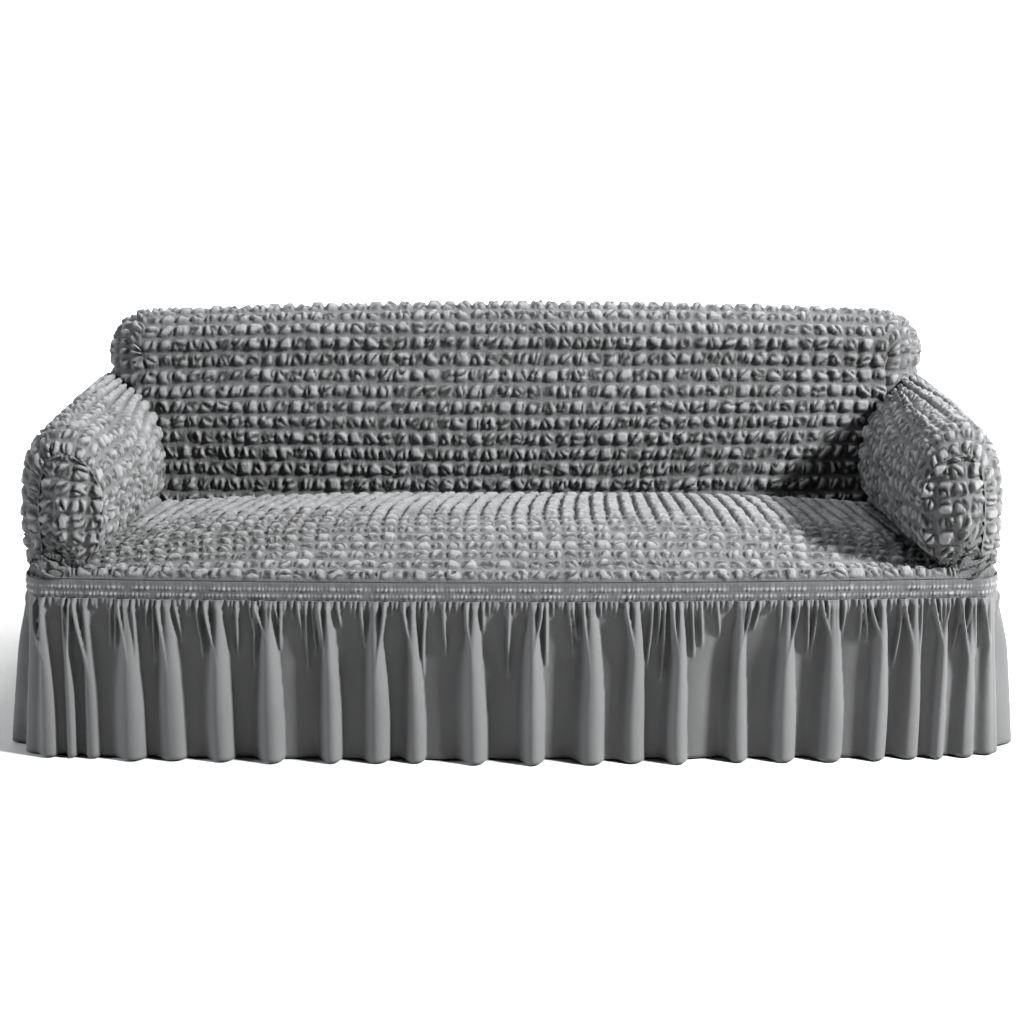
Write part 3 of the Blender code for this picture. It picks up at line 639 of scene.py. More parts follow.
def puff_tree():
    """Raises one crumpled puff in every cell of a cloth."""
    tree = bpy.data.node_groups.get("Puffs")
    if tree:
        return tree
    tree = bpy.data.node_groups.new("Puffs", "GeometryNodeTree")
    for label, kind in [("Geometry", "Geometry"), *PUFF_INPUTS.items()]:
        tree.interface.new_socket(label, in_out="INPUT", socket_type="NodeSocket" + kind)
    tree.interface.new_socket("Geometry", in_out="OUTPUT", socket_type="NodeSocketGeometry")
    n = Nodes(tree)
    into = n.add("NodeGroupInput").outputs
    cells = n.add("GeometryNodeInputNamedAttribute", "cells", data_type="FLOAT_VECTOR").outputs[0]
    column, row, lift = n.add("ShaderNodeSeparateXYZ", cells).outputs
    stretch = n.add("GeometryNodeInputNamedAttribute", "stretch", data_type="FLOAT").outputs[0]
    seed = n.times(into["Seed"], 7.31)
    plane = n.add("ShaderNodeCombineXYZ", column, row, seed).outputs[0]

    # the channels wander a little, so no two puffs have the same outline
    drift = n.noise(plane, 0.9, 1.0, output="Color")
    off = n.vector("SUBTRACT", drift, (0.5, 0.5, 0.5))
    off = n.vector("SCALE", off, n.times(into["Unevenness"], 0.55))
    column, row, _ = n.add("ShaderNodeSeparateXYZ", n.vector("ADD", plane, off)).outputs
    across, up = [n.less(n.math("FRACT", value), 0.5) for value in (column, row)]
    corner = [n.math("FLOOR", value) for value in (column, row)]
    ident = n.add("ShaderNodeCombineXYZ", *corner, seed).outputs[0]
    chance = n.add("ShaderNodeTexWhiteNoise", ident, noise_dimensions="3D").outputs["Color"]
    own = n.add("ShaderNodeSeparateXYZ", chance).outputs

    # rounded square with a steep side, leaning a little its own way
    lean = n.times(n.less(own[0], 0.5), n.times(up, 0.22))
    half = n.line(own[1], 0.06, 0.47)

    def side(value, fullness):
        share = n.math("DIVIDE", value, n.times(fullness, half))
        return n.math("POWER", n.math("ABSOLUTE", share), 4.0)

    side_across = side(n.math("ADD", across, lean), into["Fullness"])
    side_up = n.times(side(up, into["Row Fullness"]), n.line(stretch, -0.86, 1.0))
    reach = n.math("POWER", n.math("ADD", side_across, side_up), 0.25)
    form = n.ramp(reach, n.less(1.0, into["Softness"]), n.line(into["Softness"], 0.5, 1.0), 1.0, 0.0)

    # creases: where a stretched noise crosses its middle value
    centre = n.vector("ADD", ident, (0.5, 0.5, 0.0))
    spun = n.add("ShaderNodeVectorRotate", rotation_type="Z_AXIS", into={
        "Vector": plane, "Center": centre, "Angle": n.line(own[2], 2.2, -1.1)}).outputs[0]
    folded = n.vector("MULTIPLY", spun, (1.55, 0.62, 1.0))
    folded = n.vector("ADD", folded, n.vector("SCALE", chance, 40.0))
    near = n.math("ABSOLUTE", n.less(n.noise(folded, 1.2, 0.8), 0.5))
    dip = n.times(n.ramp(near, 0.0, 0.12, 1.0, 0.0), n.line(stretch, -0.75, 1.0))
    kept = n.less(1.0, n.times(dip, into["Crumple"]))
    height = n.times(n.times(form, kept), n.line(own[0], 0.34, 0.83))

    cloth_now = into["Geometry"]
    # puff and crease go to the materials, which tint the raised puffs lighter as a painted highlight
    # and the channels and creases darker as painted shade
    full = n.times(lift, 1.4, clamp=True)
    for name, value in [("puff", n.times(height, full)), ("crease", n.times(form, dip))]:
        cloth_now = n.add("GeometryNodeStoreNamedAttribute", data_type="FLOAT", domain="POINT",
                          into={"Geometry": cloth_now, "Name": name, "Value": value}).outputs[0]
    raised = n.times(n.times(height, into["Height"]), lift)
    normal = n.add("GeometryNodeInputNormal").outputs[0]
    moved = n.add("GeometryNodeSetPosition", into={
        "Geometry": cloth_now, "Offset": n.vector("SCALE", normal, raised)})
    real = n.add("GeometryNodeRealizeInstances", moved.outputs[0])
    painted = n.add("GeometryNodeSetMaterial", into={
        "Geometry": real.outputs[0], "Material": into["Material"]})
    n.add("NodeGroupOutput", painted.outputs[0])
    return tree


# ---- materials -----------------------------------------------------------------
def material(name, fill):
    """The material of this name, whose nodes are put in when it is first asked for."""
    made = bpy.data.materials.get(name)
    if not made:
        made = bpy.data.materials.new(name)
        made.use_nodes = True
        fill(Nodes(made.node_tree), bpy.context.scene.slipcover)
    return made


def finish_shader(n, colour, height, strength, distance, roughness, sheen):
    bump = n.add("ShaderNodeBump", into={
        "Strength": strength, "Distance": distance, "Height": height})
    shader = n.add("ShaderNodeBsdfPrincipled", into={
        "Base Color": colour, "Roughness": roughness, "Specular IOR Level": 0.25,
        "Sheen Weight": sheen, "Sheen Roughness": 0.45, "Normal": bump.outputs[0]})
    n.add("ShaderNodeOutputMaterial", shader.outputs[0])


def tinted(n, colour, value, low, high):
    """The colour made darker or lighter by a factor that runs from low to high with value."""
    base = n.add("ShaderNodeCombineXYZ", *colour).outputs[0]
    return n.vector("SCALE", base, n.line(value, high - low, low))


def puffed_seersucker(n, settings):
    """Fine seersucker knit, crumpled and matt on the puffs, with painted shade in the channels and
    creases and a painted highlight on the raised puffs."""
    place = n.add("ShaderNodeTexCoord").outputs["Object"]
    puff, crease = n.attribute("puff"), n.attribute("crease")
    # the cloth's own patchy tone, plus a painted highlight that lightens the raised puffs over the
    # channels
    shade = n.line(n.noise(place, 9.0, 3.0), 0.30, n.times(puff, 0.52))
    shade = n.line(n.noise(place, 420.0, 2.0, 0.6), 0.25, shade)
    # painted shade: the creases are tinted darker
    shade = n.line(crease, -0.66, shade)
    colour = tinted(n, settings.puffed_colour, shade, 0.62, 1.86)
    ridge = n.math("ABSOLUTE", n.less(n.noise(place, 165.0, 2.5, 0.6), 0.5))
    height = n.line(ridge, 2.8, n.times(n.noise(place, 900.0, 1.0), 0.15))
    finish_shader(n, colour, n.line(crease, -0.5, height), 1.0, 0.0020, 0.88, 0.12)


def shirred_band(n, settings):
    """Fine knit, with painted shade between the puckers and a painted highlight on them."""
    place = n.add("ShaderNodeTexCoord").outputs["Object"]
    # the knit's own patchy tone, plus a painted highlight on the raised puckers that leaves painted
    # shade between them
    shade = n.line(n.noise(place, 30.0, 3.0), 0.4, n.times(n.attribute("puff"), 1.1))
    colour = tinted(n, settings.band_colour, shade, 0.56, 1.62)
    finish_shader(n, colour, n.noise(place, 700.0, 2.0), 0.5, 0.0008, 0.85, 0.12)


def woven_skirt(n, settings):
    """Smooth woven cloth with a faint weave and soft wrinkles."""
    place = n.add("ShaderNodeTexCoord").outputs["Object"]
    grain = n.noise(place, 600.0, 2.0)
    shade = n.line(n.noise(place, 6.0, 3.0), 0.6, n.times(grain, 0.4))
    colour = tinted(n, settings.skirt_colour, shade, 0.86, 1.14)
    height = n.line(n.noise(place, 28.0, 3.0, 0.55), 1.0, n.times(grain, 0.06))
    finish_shader(n, colour, height, 0.35, 0.004, 0.78, 0.10)


# ---- puffed pieces -------------------------------------------------------------
def even_sink(column, row):
    return np.full(np.shape(column), CHANNEL_DEPTH)


def no_sink(column, row):
    return np.zeros(np.shape(column))


def raise_puffs(piece, cloth_material, **values):
    """Raises the puffs of a cloth.  The values are those of the node tree's inputs."""
    values = {key.replace("_", " ").title(): value for key, value in values.items()}
    apply_tree(piece, puff_tree(), {**values, "Material": cloth_material})


def puffed(name, surface, columns, rows, steps, keep=None, cells=plain_cells,
           sink=even_sink, taller=1.0):
    """One panel of puffed cloth on a surface that is given in cells."""
    settings = bpy.context.scene.slipcover

    def inner_sink(u, v):
        return sink(u, v) + CLOTH
    piece = cloth(name + "_cloth", sunk(surface, sink), sunk(surface, inner_sink),
                  columns, rows, steps, keep, cells=cells)
    raise_puffs(piece, material("puffed_seersucker", puffed_seersucker),
                height=settings.puff_height, fullness=settings.puff_fullness,
                row_fullness=settings.row_fullness * taller, softness=0.28,
                crumple=settings.crumple, unevenness=0.5, seed=settings.seed + len(name))
    hand_over(piece, name)


BACK_COLUMNS = 50         # across the flat face
CORNER_COLUMNS = 4        # more over each rounded end of the top
FACE_ROWS, ROLL_ROWS = 9, 8
CORNER_TURN = 87          # degrees; the columns stop just short of the rounded end's tip
CORNER_ARC = BACK_EDGE_RADIUS * np.radians(CORNER_TURN)
END_SEAM_TURN = 58        # degrees up the roll that the slanting seam reaches at the tip
REAR_LAP = 0.012          # the inside back's rear edge runs this far on under the outside back
REAR_SINK = 0.0022        # and lies this much deeper there
LOOSE_ROW, LOOSE_COLUMN = 0.006, 0.005    # how far rows and columns are drawn out of line
BACK_NARROWING = 0.043    # the columns draw together by this much towards the crease


def corner_seam(share):
    """Angle up the roll of the seam that crosses the rounded end, from its inner corner at
    share 0 to its tip at 1."""
    return np.radians(END_SEAM_TURN) * np.clip(share, 0, 1) ** 0.62


def seam_wander(height):
    """How far the upright seam at the back's end strays outward, in metres."""
    return 0.0035 * np.sin(height * 55) + 0.002 * np.sin(height * 131 + 1)


def back_in_cells(column, row):
    face = BACK_COLUMNS / 2
    inner = np.clip(np.abs(column), 0, face)
    beyond = np.clip(np.abs(column) - face, 0, CORNER_COLUMNS)
    rolled = (row - FACE_ROWS) / ROLL_ROWS
    start = corner_seam(beyond / CORNER_COLUMNS)
    up = np.where(rolled > 0, FACE_LENGTH + BACK_EDGE_RADIUS * (start + (np.pi - start) * rolled),
                  FACE_LENGTH * row / FACE_ROWS)
    up = up + REAR_LAP * smoothstep(rolled, 0.92, 1.0)
    narrow = BACK_FLAT_HALF - BACK_NARROWING * (1 - smoothstep(up / FACE_LENGTH, -0.1, 0.62)) - SEAM
    narrow = narrow + seam_wander(up) * (inner / face) ** 6
    across = narrow * inner / face + beyond * CORNER_ARC / CORNER_COLUMNS
    # the rows are drawn a little out of level, more to one end than the other
    loose = np.sin(np.pi * np.clip(row / (FACE_ROWS + ROLL_ROWS), 0, 1))
    up = up + LOOSE_ROW * loose * waves(column / 9.0, row / 7.0, 3, low=0.7, high=1.6)
    across = across * np.sign(column)
    aside = waves(column / 6.0, row / 6.0, 4, low=0.7, high=1.8) * (1 - (inner / face) ** 4)
    return inside_back_surface(across + LOOSE_COLUMN * loose * aside, up)


def back_sink(column, row):
    """The rear edge lies a little deeper, under the edge of the outside back."""
    end = FACE_ROWS + ROLL_ROWS
    return CHANNEL_DEPTH + REAR_SINK * smoothstep(row, end - 0.7, end - 0.3)


class SLIPCOVER_OT_inside_back(bpy.types.Operator):
    """Puffed panel over the face and the top of the back"""
    bl_idname = "slipcover.inside_back"
    bl_label = "Inside Back"

    def execute(self, context):
        half = BACK_COLUMNS // 2 + CORNER_COLUMNS
        columns = np.arange(-half, half + 1)
        rows = np.arange(-1, FACE_ROWS + ROLL_ROWS + 1)
        on_face = np.abs(columns[:-1] + 0.5) < BACK_COLUMNS / 2
        on_roll = rows[:-1] >= FACE_ROWS
        keep = on_face[:, None] | on_roll[None, :]
        puffed("inside_back", back_in_cells, columns, rows, (10, 9), keep,
               sink=back_sink)
        return {"FINISHED"}


OUTSIDE_ROWS = 10
CORNER_ROWS = 2           # more over the front rounding, up to the slanting seam
# station on the outside of the back, cells from the rear middle
OUTSIDE_STATIONS = [(0, 0), (1, 26), (2, 29.5), (3, 33), (4, 37)]


def outside_in_cells(column, row):
    """Columns count leftward from the rear middle.  Above the last full row the columns of
    the front rounding run on to the slanting seam."""
    stations, counts = zip(*OUTSIDE_STATIONS)
    s = np.interp(np.abs(column), counts, stations)
    z = BAND_TOP_Z + SEAM + (BACK_TOP_Z - BAND_TOP_Z - SEAM) * row / OUTSIDE_ROWS
    side = -np.sign(column)
    up_face = np.clip((z - CREASE_Z) / (BACK_TOP_Z - CREASE_Z), 0, 1) * FACE_LENGTH
    wall = outside_back_surface(side * s, np.minimum(z, BACK_TOP_Z))
    wall[..., 0] += side * seam_wander(up_face) * np.clip(s - 3, 0, 1) ** 3
    round_share = np.clip(4 - s, 0, 1) * CORNER_TURN / 90
    above = np.clip((row - OUTSIDE_ROWS) / CORNER_ROWS, 0, 1.2)
    up = FACE_LENGTH + BACK_EDGE_RADIUS * (corner_seam(round_share) - SEAM) * above
    across = side * (BACK_FLAT_HALF + BACK_EDGE_RADIUS * np.radians(90) * round_share)
    return np.where((row > OUTSIDE_ROWS)[..., None], inside_back_surface(across, up), wall)


class SLIPCOVER_OT_outside_back(bpy.types.Operator):
    """Puffed panel down the rear and round both ends of the back"""
    bl_idname = "slipcover.outside_back"
    bl_label = "Outside Back"

    def execute(self, context):
        half = OUTSIDE_STATIONS[-1][1]
        columns = np.arange(-half, half + 1)
        rows = np.arange(OUTSIDE_ROWS + CORNER_ROWS + 1)
        on_wall = rows[:-1] < OUTSIDE_ROWS
        on_corner = np.abs(columns[:-1] + 0.5) > OUTSIDE_STATIONS[3][1]
        keep = on_wall[None, :] | on_corner[:, None]
        puffed("outside_back", outside_in_cells, columns, rows, (7, 7), keep)
        return {"FINISHED"}


SEAT_COLUMNS = 52
STRIP_COLUMNS = 8         # more in the front rows, under each arm
SEAT_ROWS = 17
SEAT_UNDER = 0.045        # the seat runs this far on under the arms
SEAT_PULL = 0.045         # how far its left half is pulled to the right at the crease
CREASE_DROP = 0.010       # its rear edge drops this far into the crease
SIDE_RISE = 0.016         # its sides rise this much under the arms
LOOSE_SEAT = 0.005        # how far its rows and columns are drawn out of line
ROLL_RADIUS = 0.029       # of the bunched cloth under an arm's front
ROLL_SET_BACK = 0.014     # its middle lies this far inside the base plan
ROLL_OVAL = 0.62          # its depth, in lengths of its height
ROLL_TUCK = 0.035         # its upper edge runs this far back under the arm
STRANDS_UP, STRANDS_ALONG = 4.2, 44       # its strands for each row, and for each metre
STRAND_HEIGHT = 0.0075


def bunched_roll(along, row):
    """Cloth bunched into a roll over the waistband under an arm's front; row runs from 0 at
    the waistband to 2 where it tucks in under the arm."""
    beyond = np.abs(along - FRONT_MIDDLE) - SEAT_FRONT_HALF
    ending = smoothstep(beyond, 0.085, 0.150)
    radius = ROLL_RADIUS * (1 - 0.5 * ending)
    turn = np.pi * (0.60 * row - 0.30)
    out = radius * ROLL_OVAL * np.cos(turn) - ROLL_SET_BACK - ROLL_TUCK * smoothstep(row, 1.3, 2.0)
    z = BAND_TOP_Z - 0.002 + radius * (0.809 + np.sin(turn))
    strands = STRANDS_UP * row - STRANDS_ALONG * beyond + 0.5 * waves(along * 18, row * 1.5, 31)
    folds = (2 * np.abs(np.sin(np.pi * strands / 2)) - 1) * (1 - ending)
    out = out + STRAND_HEIGHT * folds * smoothstep(row, 0.0, 0.3) * smoothstep(beyond, -0.01, 0.03)
    x, y = base_point(along, out)
    return np.stack([x, y, z], axis=-1)


def seat_in_cells(column, row):
    face = SEAT_COLUMNS / 2
    back = np.interp(row, [0, 1, SEAT_ROWS], [0, STRIP_LENGTH, SEAT_LENGTH[-1]])
    inner = np.clip(np.abs(column), 0, face)
    beyond = np.clip(np.abs(column) - face, 0, STRIP_COLUMNS)
    depth = curve(SEAT_CURVE, back)[0]
    strip = (SEAT_STRIP_HALF - SEAT_FRONT_HALF) / STRIP_COLUMNS
    half = seat_half(depth) + SEAT_UNDER * smoothstep(row, 2, 6)
    across = np.sign(column) * (half * inner / face + beyond * strip)
    pulled = smoothstep(row, 7, SEAT_ROWS) * (1 - smoothstep(across, -0.15, 0.50))
    across = across + SEAT_PULL * pulled * (1 - (inner / face) ** 8)
    loose = smoothstep(row, 1, 5) * (1 - smoothstep(row, SEAT_ROWS - 3, SEAT_ROWS))
    back = back + LOOSE_SEAT * loose * waves(column / 8.0, row / 6.0, 11, low=0.7, high=1.7)
    aside = waves(column / 6.0, row / 6.0, 12, low=0.7, high=1.7) * (1 - (inner / face) ** 4)
    across = across + LOOSE_SEAT * loose * aside
    seat = seat_surface(across, back)
    seat[..., 1] += SEAT_TUCK * smoothstep(row, SEAT_ROWS - 0.5, SEAT_ROWS)
    seat[..., 2] -= CREASE_DROP * smoothstep(row, SEAT_ROWS - 1, SEAT_ROWS)
    seat[..., 2] += SIDE_RISE * smoothstep(row, 2, 6) * smoothstep(inner / face, 0.94, 0.99)
    bunched = smoothstep(beyond, 0.0, 2.2)[..., None]
    roll = bunched_roll(FRONT_MIDDLE + across, row)
    return seat * (1 - bunched) + roll * bunched


def seat_cells(column, row):
    """Puffs on the seat that run together into tubes towards the back; along the bunched
    rolls only low, uneven ones."""
    beyond = np.abs(column) - SEAT_COLUMNS / 2
    # they reach further forward on the right
    early = 2.5 * smoothstep(column, -0.4 * SEAT_COLUMNS, 0.2 * SEAT_COLUMNS)
    stretch = smoothstep(row + early + 0.8 * waves(column / 3, row * 0, 41), 7.0, 11.5)
    lift = (0.74 + 0.26 * stretch) * smoothstep(row, -0.8, 0.8)
    return column, row, lift * (1 - 0.9 * smoothstep(beyond, 0.0, 1.6)), stretch


def seat_sink(column, row):
    """The cloth comes up quickly from its seam with the waistband."""
    return CHANNEL_DEPTH * (0.25 + 0.75 * smoothstep(row, 0.0, 0.5))


class SLIPCOVER_OT_seat(bpy.types.Operator):
    """Puffed panel over the seat, with its strip along the waistband"""
    bl_idname = "slipcover.seat"
    bl_label = "Seat"

    def execute(self, context):
        half = SEAT_COLUMNS // 2 + STRIP_COLUMNS
        columns = np.arange(-half, half + 1)
        rows = np.concatenate([[0, 0.5, 1, 1.5], np.arange(2, SEAT_ROWS + 1)])
        on_seat = np.abs(columns[:-1] + 0.5) < SEAT_COLUMNS / 2
        keep = on_seat[:, None] | (rows[:-1] < 2)[None, :]
        puffed("seat_panel", seat_in_cells, columns, rows, (9, 10), keep,
               cells=seat_cells, sink=seat_sink)
        return {"FINISHED"}


ARM_COLUMNS, ARM_ROWS = 19, 16
ARM_TUCK_IN = 1.022       # its rear edge runs on into the back, to this many lengths of the arm
ARM_OUTER_LAP = 0.045     # and by this much more on the outer side, over the end of the back
ARM_GATHER = 0.50         # where round the arm its columns draw together at the back
ARM_DRAWN = 0.075         # by how much, in the same measure
# crease along the right arm: where round the arm it starts, its drift to the back, its half
# width in the same measure, its height in metres
CREASE_LINE, CREASE_DRIFT, CREASE_HALF, CREASE_LIFT = 0.60, -0.06, 0.035, 0.012


def pulled_crease(place, around, along):
    """A sharp crease that is pulled along the right arm: how far it lifts the cloth."""
    away = place - (ARM_CENTRE[0], 0, ARM_CENTRE[1])
    away[..., 1] = 0
    away /= np.linalg.norm(away, axis=-1, keepdims=True)
    reach = np.abs(around - CREASE_LINE - CREASE_DRIFT * along) / CREASE_HALF
    lift = CREASE_LIFT * np.exp(-1.6 * reach) * smoothstep(along, 0.16, 0.30)
    return away * (lift * (1 - smoothstep(along, 0.88, 1.0)))[..., None]


def arm_in_cells(side):
    """The arm's surface in cells: columns round it, rows from its front seam to the back."""
    fine = np.linspace(0, 1, 201)
    mid = np.full_like(fine, 0.5)

    def lengths(points):
        return np.concatenate([[0], np.cumsum(np.linalg.norm(np.diff(points, axis=0), axis=1))])

    round_length = lengths(arm_surface(1, fine, mid))
    along_length = lengths(arm_surface(1, mid, fine))

    def surface(column, row):
        if side > 0:
            column = ARM_COLUMNS - column
        around = np.interp(column / ARM_COLUMNS * round_length[-1], round_length, fine)
        outer = 1 - smoothstep(column / ARM_COLUMNS, 0.25, 0.45)
        along = np.interp(row / ARM_ROWS * along_length[-1], along_length, fine)
        along = along * (ARM_TUCK_IN + ARM_OUTER_LAP * outer * smoothstep(along, 0.7, 1.0))
        # towards the back the columns draw together on top
        drawn = ARM_DRAWN * smoothstep(along, 0.35, 1.0)
        around = around - drawn * np.sin(2 * np.pi * (around - ARM_GATHER)) * np.sin(np.pi * around)
        # beyond either end the surface runs straight on, for its normals
        around = around + (column - np.clip(column, 0, ARM_COLUMNS)) / ARM_COLUMNS
        along = along + np.maximum(row - ARM_ROWS, 0) / ARM_ROWS
        place = arm_surface(side, around, np.maximum(along, ARM_EDGE))
        if side > 0:
            place = place + pulled_crease(place, around, along)
        return place
    return surface


def arm_cells(side):
    """On top and inside, towards the back, the puffs run together into long tubes."""
    def cells(column, row):
        around = (ARM_COLUMNS - column if side > 0 else column) / ARM_COLUMNS
        if side < 0:
            top = smoothstep(around, 0.22, 0.40) * (1 - smoothstep(around, 0.74, 0.90))
            stretch = 0.95 * top * smoothstep(row, 7.5, 12.0)
        else:
            top = smoothstep(around, 0.22, 0.36) * (1 - smoothstep(around, 0.50, 0.62))
            stretch = 0.75 * top * smoothstep(row, 3.5, 8.0)
        return column, row, 0.86 + 0.4 * stretch, stretch
    return cells


FRONT_PITCH = 0.0345      # cells of the arms' front panels, seen straight on
FRONT_TURN = np.radians(6)                # their rows lean this much
ARM_TALLER = 1.14         # the arms' puffs take up this much more of a cell's height


def front_cells(side):
    def cells(a, b):
        place = arm_front_surface(side, a, b)
        out, up = side * place[..., 0] - ARM_CENTRE[0], place[..., 2] - ARM_CENTRE[1]
        column = (out * np.cos(FRONT_TURN) + up * np.sin(FRONT_TURN)) / FRONT_PITCH + 0.5
        row = (up * np.cos(FRONT_TURN) - out * np.sin(FRONT_TURN)) / FRONT_PITCH
        radius = np.hypot(a * np.sqrt(1 - b * b / 2), b * np.sqrt(1 - a * a / 2))
        strength = front_folds(side, place)[0]
        lift = (1 - smoothstep(radius, 0.955, 0.99)) * (1 - 0.9 * strength)
        return column, row, lift, np.zeros_like(row)
    return cells


class SLIPCOVER_OT_arms(bpy.types.Operator):
    """Puffed panels over both arms, and the domed panels in their fronts"""
    bl_idname = "slipcover.arms"
    bl_label = "Arms"

    def execute(self, context):
        square = np.linspace(-1, 1, 14)
        for name, side in (("left", -1), ("right", 1)):
            puffed("arm_" + name, arm_in_cells(side), np.arange(ARM_COLUMNS + 1),
                   np.arange(ARM_ROWS + 1), (10, 10),
                   cells=arm_cells(side), taller=ARM_TALLER)

            def domed(a, b, side=side):
                return arm_front_surface(side, a, b)
            puffed("arm_front_" + name, domed, square, square, (6, 6),
                   cells=front_cells(side), sink=no_sink, taller=ARM_TALLER)
        return {"FINISHED"}


# ---- waistband and skirt -------------------------------------------------------
PUCKER_PITCH = 0.0088
BAND_SET_BACK = 0.002     # the band's ground lies this far inside the base plan
# share of the band's height at each line between rows, from the bottom: the puckers stand in
# the second and the fourth row
BAND_LINES = (0.0, 0.17, 0.41, 0.52, 0.76, 1.0)
BAND_LIFT_ROWS = (0, 0.8, 1.1, 1.9, 2.1, 2.9, 3.1, 3.9, 4.2, 5)
BAND_LIFTS = (0.1, 0.2, 0.8, 0.8, 0.1, 0.1, 0.8, 0.8, 0.2, 0.1)


class SLIPCOVER_OT_waistband(bpy.types.Operator):
    """Shirred band: two rows of fine puckers between rows of stitches"""
    bl_idname = "slipcover.waistband"
    bl_label = "Waistband"

    def execute(self, context):
        settings = context.scene.slipcover
        count = int(ROUND / PUCKER_PITCH)
        low, high = BAND_LOW_Z + SEAM, BAND_TOP_Z - SEAM

        def band(depth):
            def surface(column, row):
                share = np.interp(row, range(len(BAND_LINES)), BAND_LINES)
                x, y = base_point(column / count * ROUND, -depth)
                return np.stack([x, y, low + (high - low) * share], axis=-1)
            return surface

        def cells(column, row):
            lift = np.interp(row, BAND_LIFT_ROWS, BAND_LIFTS)
            upper = row > 2
            lift = lift * (0.72 + 0.45 * waves(column, 40 * upper, 51, low=0.4, high=2.4))
            uneven = 0.42 * waves(column, 25 * upper, 52, low=0.25, high=1.1)
            return column + uneven, row, np.clip(lift, 0.1, 1.6), np.zeros_like(row)

        piece = cloth("waistband_cloth", band(BAND_SET_BACK), band(BAND_SET_BACK + BAND_CLOTH),
                      np.arange(count + 1), np.arange(len(BAND_LINES)), (4, 3), ring=True,
                      cells=cells)
        raise_puffs(piece, material("shirred_band", shirred_band),
                    height=settings.pucker_height, fullness=0.84, row_fullness=0.84,
                    softness=0.55, crumple=0.3, unevenness=1.1, seed=settings.seed)
        hand_over(piece, "waistband")
        return {"FINISHED"}


def hidden_folds(length, seed):
    """Uneven ridges for a panel that is seen less: distance along, depth."""
    count = round(length / HIDDEN_FOLD_PITCH)
    pitch = length / count
    folds = []
    for k in range(count):
        wander = np.sin(2.4 * k + seed) + 0.6 * np.sin(5.1 * k + 2 * seed)
        folds.append(((k + 0.5 + 0.16 * wander) * pitch,
                      HIDDEN_FOLD_DEPTH * (1 + 0.22 * np.sin(3.7 * k + seed))))
    return folds


GATHER_PITCH = 0.0112
GATHER_HALF, RIDGE_HALF = 0.0045, 0.030   # half widths: of a gather, and at most of a main fold
LONG_SIDE = 1.5           # length of a fold's soft slope, in lengths of its steep side
FLOOR_SHARE = 0.42        # of a fold's depth that lies inside the base plan
LONG_GATHERS = 0.30       # share of the gathers that run on far down
SKIRT_SET_BACK = 0.0025   # the skirt's ground lies this far inside the base plan
SKIRT_WANDER, SKIRT_RIPPLE = 0.004, 0.0038    # how far folds stray, and the ground swells


def gathers(length, ridges, seed):
    """Fine ridges under the waistband.  Most are short teeth, some run on and taper to a
    point, and beside each main fold one runs into it.  Columns: start, end, drop where it
    ends, strength."""
    pick = np.random.default_rng(seed)
    count = int(length / GATHER_PITCH)
    start = (np.arange(count) + 0.5 + pick.uniform(-0.30, 0.30, count)) * length / count
    long = pick.uniform(0, 1, count) < LONG_GATHERS
    drop = np.where(long, pick.uniform(0.14, 0.52, count), pick.uniform(0.04, 0.11, count))
    strength = np.where(long, pick.uniform(0.9, 1.3, count), pick.uniform(0.5, 0.9, count))
    end = start + pick.uniform(-0.010, 0.010, count) * long
    beside = pick.choice([-1, -1, 1], len(ridges))
    joining = ridges[:, 0] + beside * pick.uniform(0.014, 0.026, len(ridges))
    meet = pick.uniform(0.26, 0.60, len(ridges))
    joins = np.column_stack([joining, ridges[:, 0], meet, np.full_like(meet, 1.6)])
    return np.concatenate([np.column_stack([start, end, drop, strength]), joins])


def tube(reach):
    """Height of a rounded fold, 1 at its crest and 0 from reach 1 on."""
    return np.clip(1 - reach * reach, 0, 1) ** 0.55


def main_fold(reach):
    """Height of a main fold: it rises in a long soft slope, and rounds off steeply beyond
    its crest."""
    slope = 0.5 + 0.5 * np.cos(np.pi * np.clip(reach / LONG_SIDE, -1, 0))
    return np.where(reach > 0, tube(reach), slope)


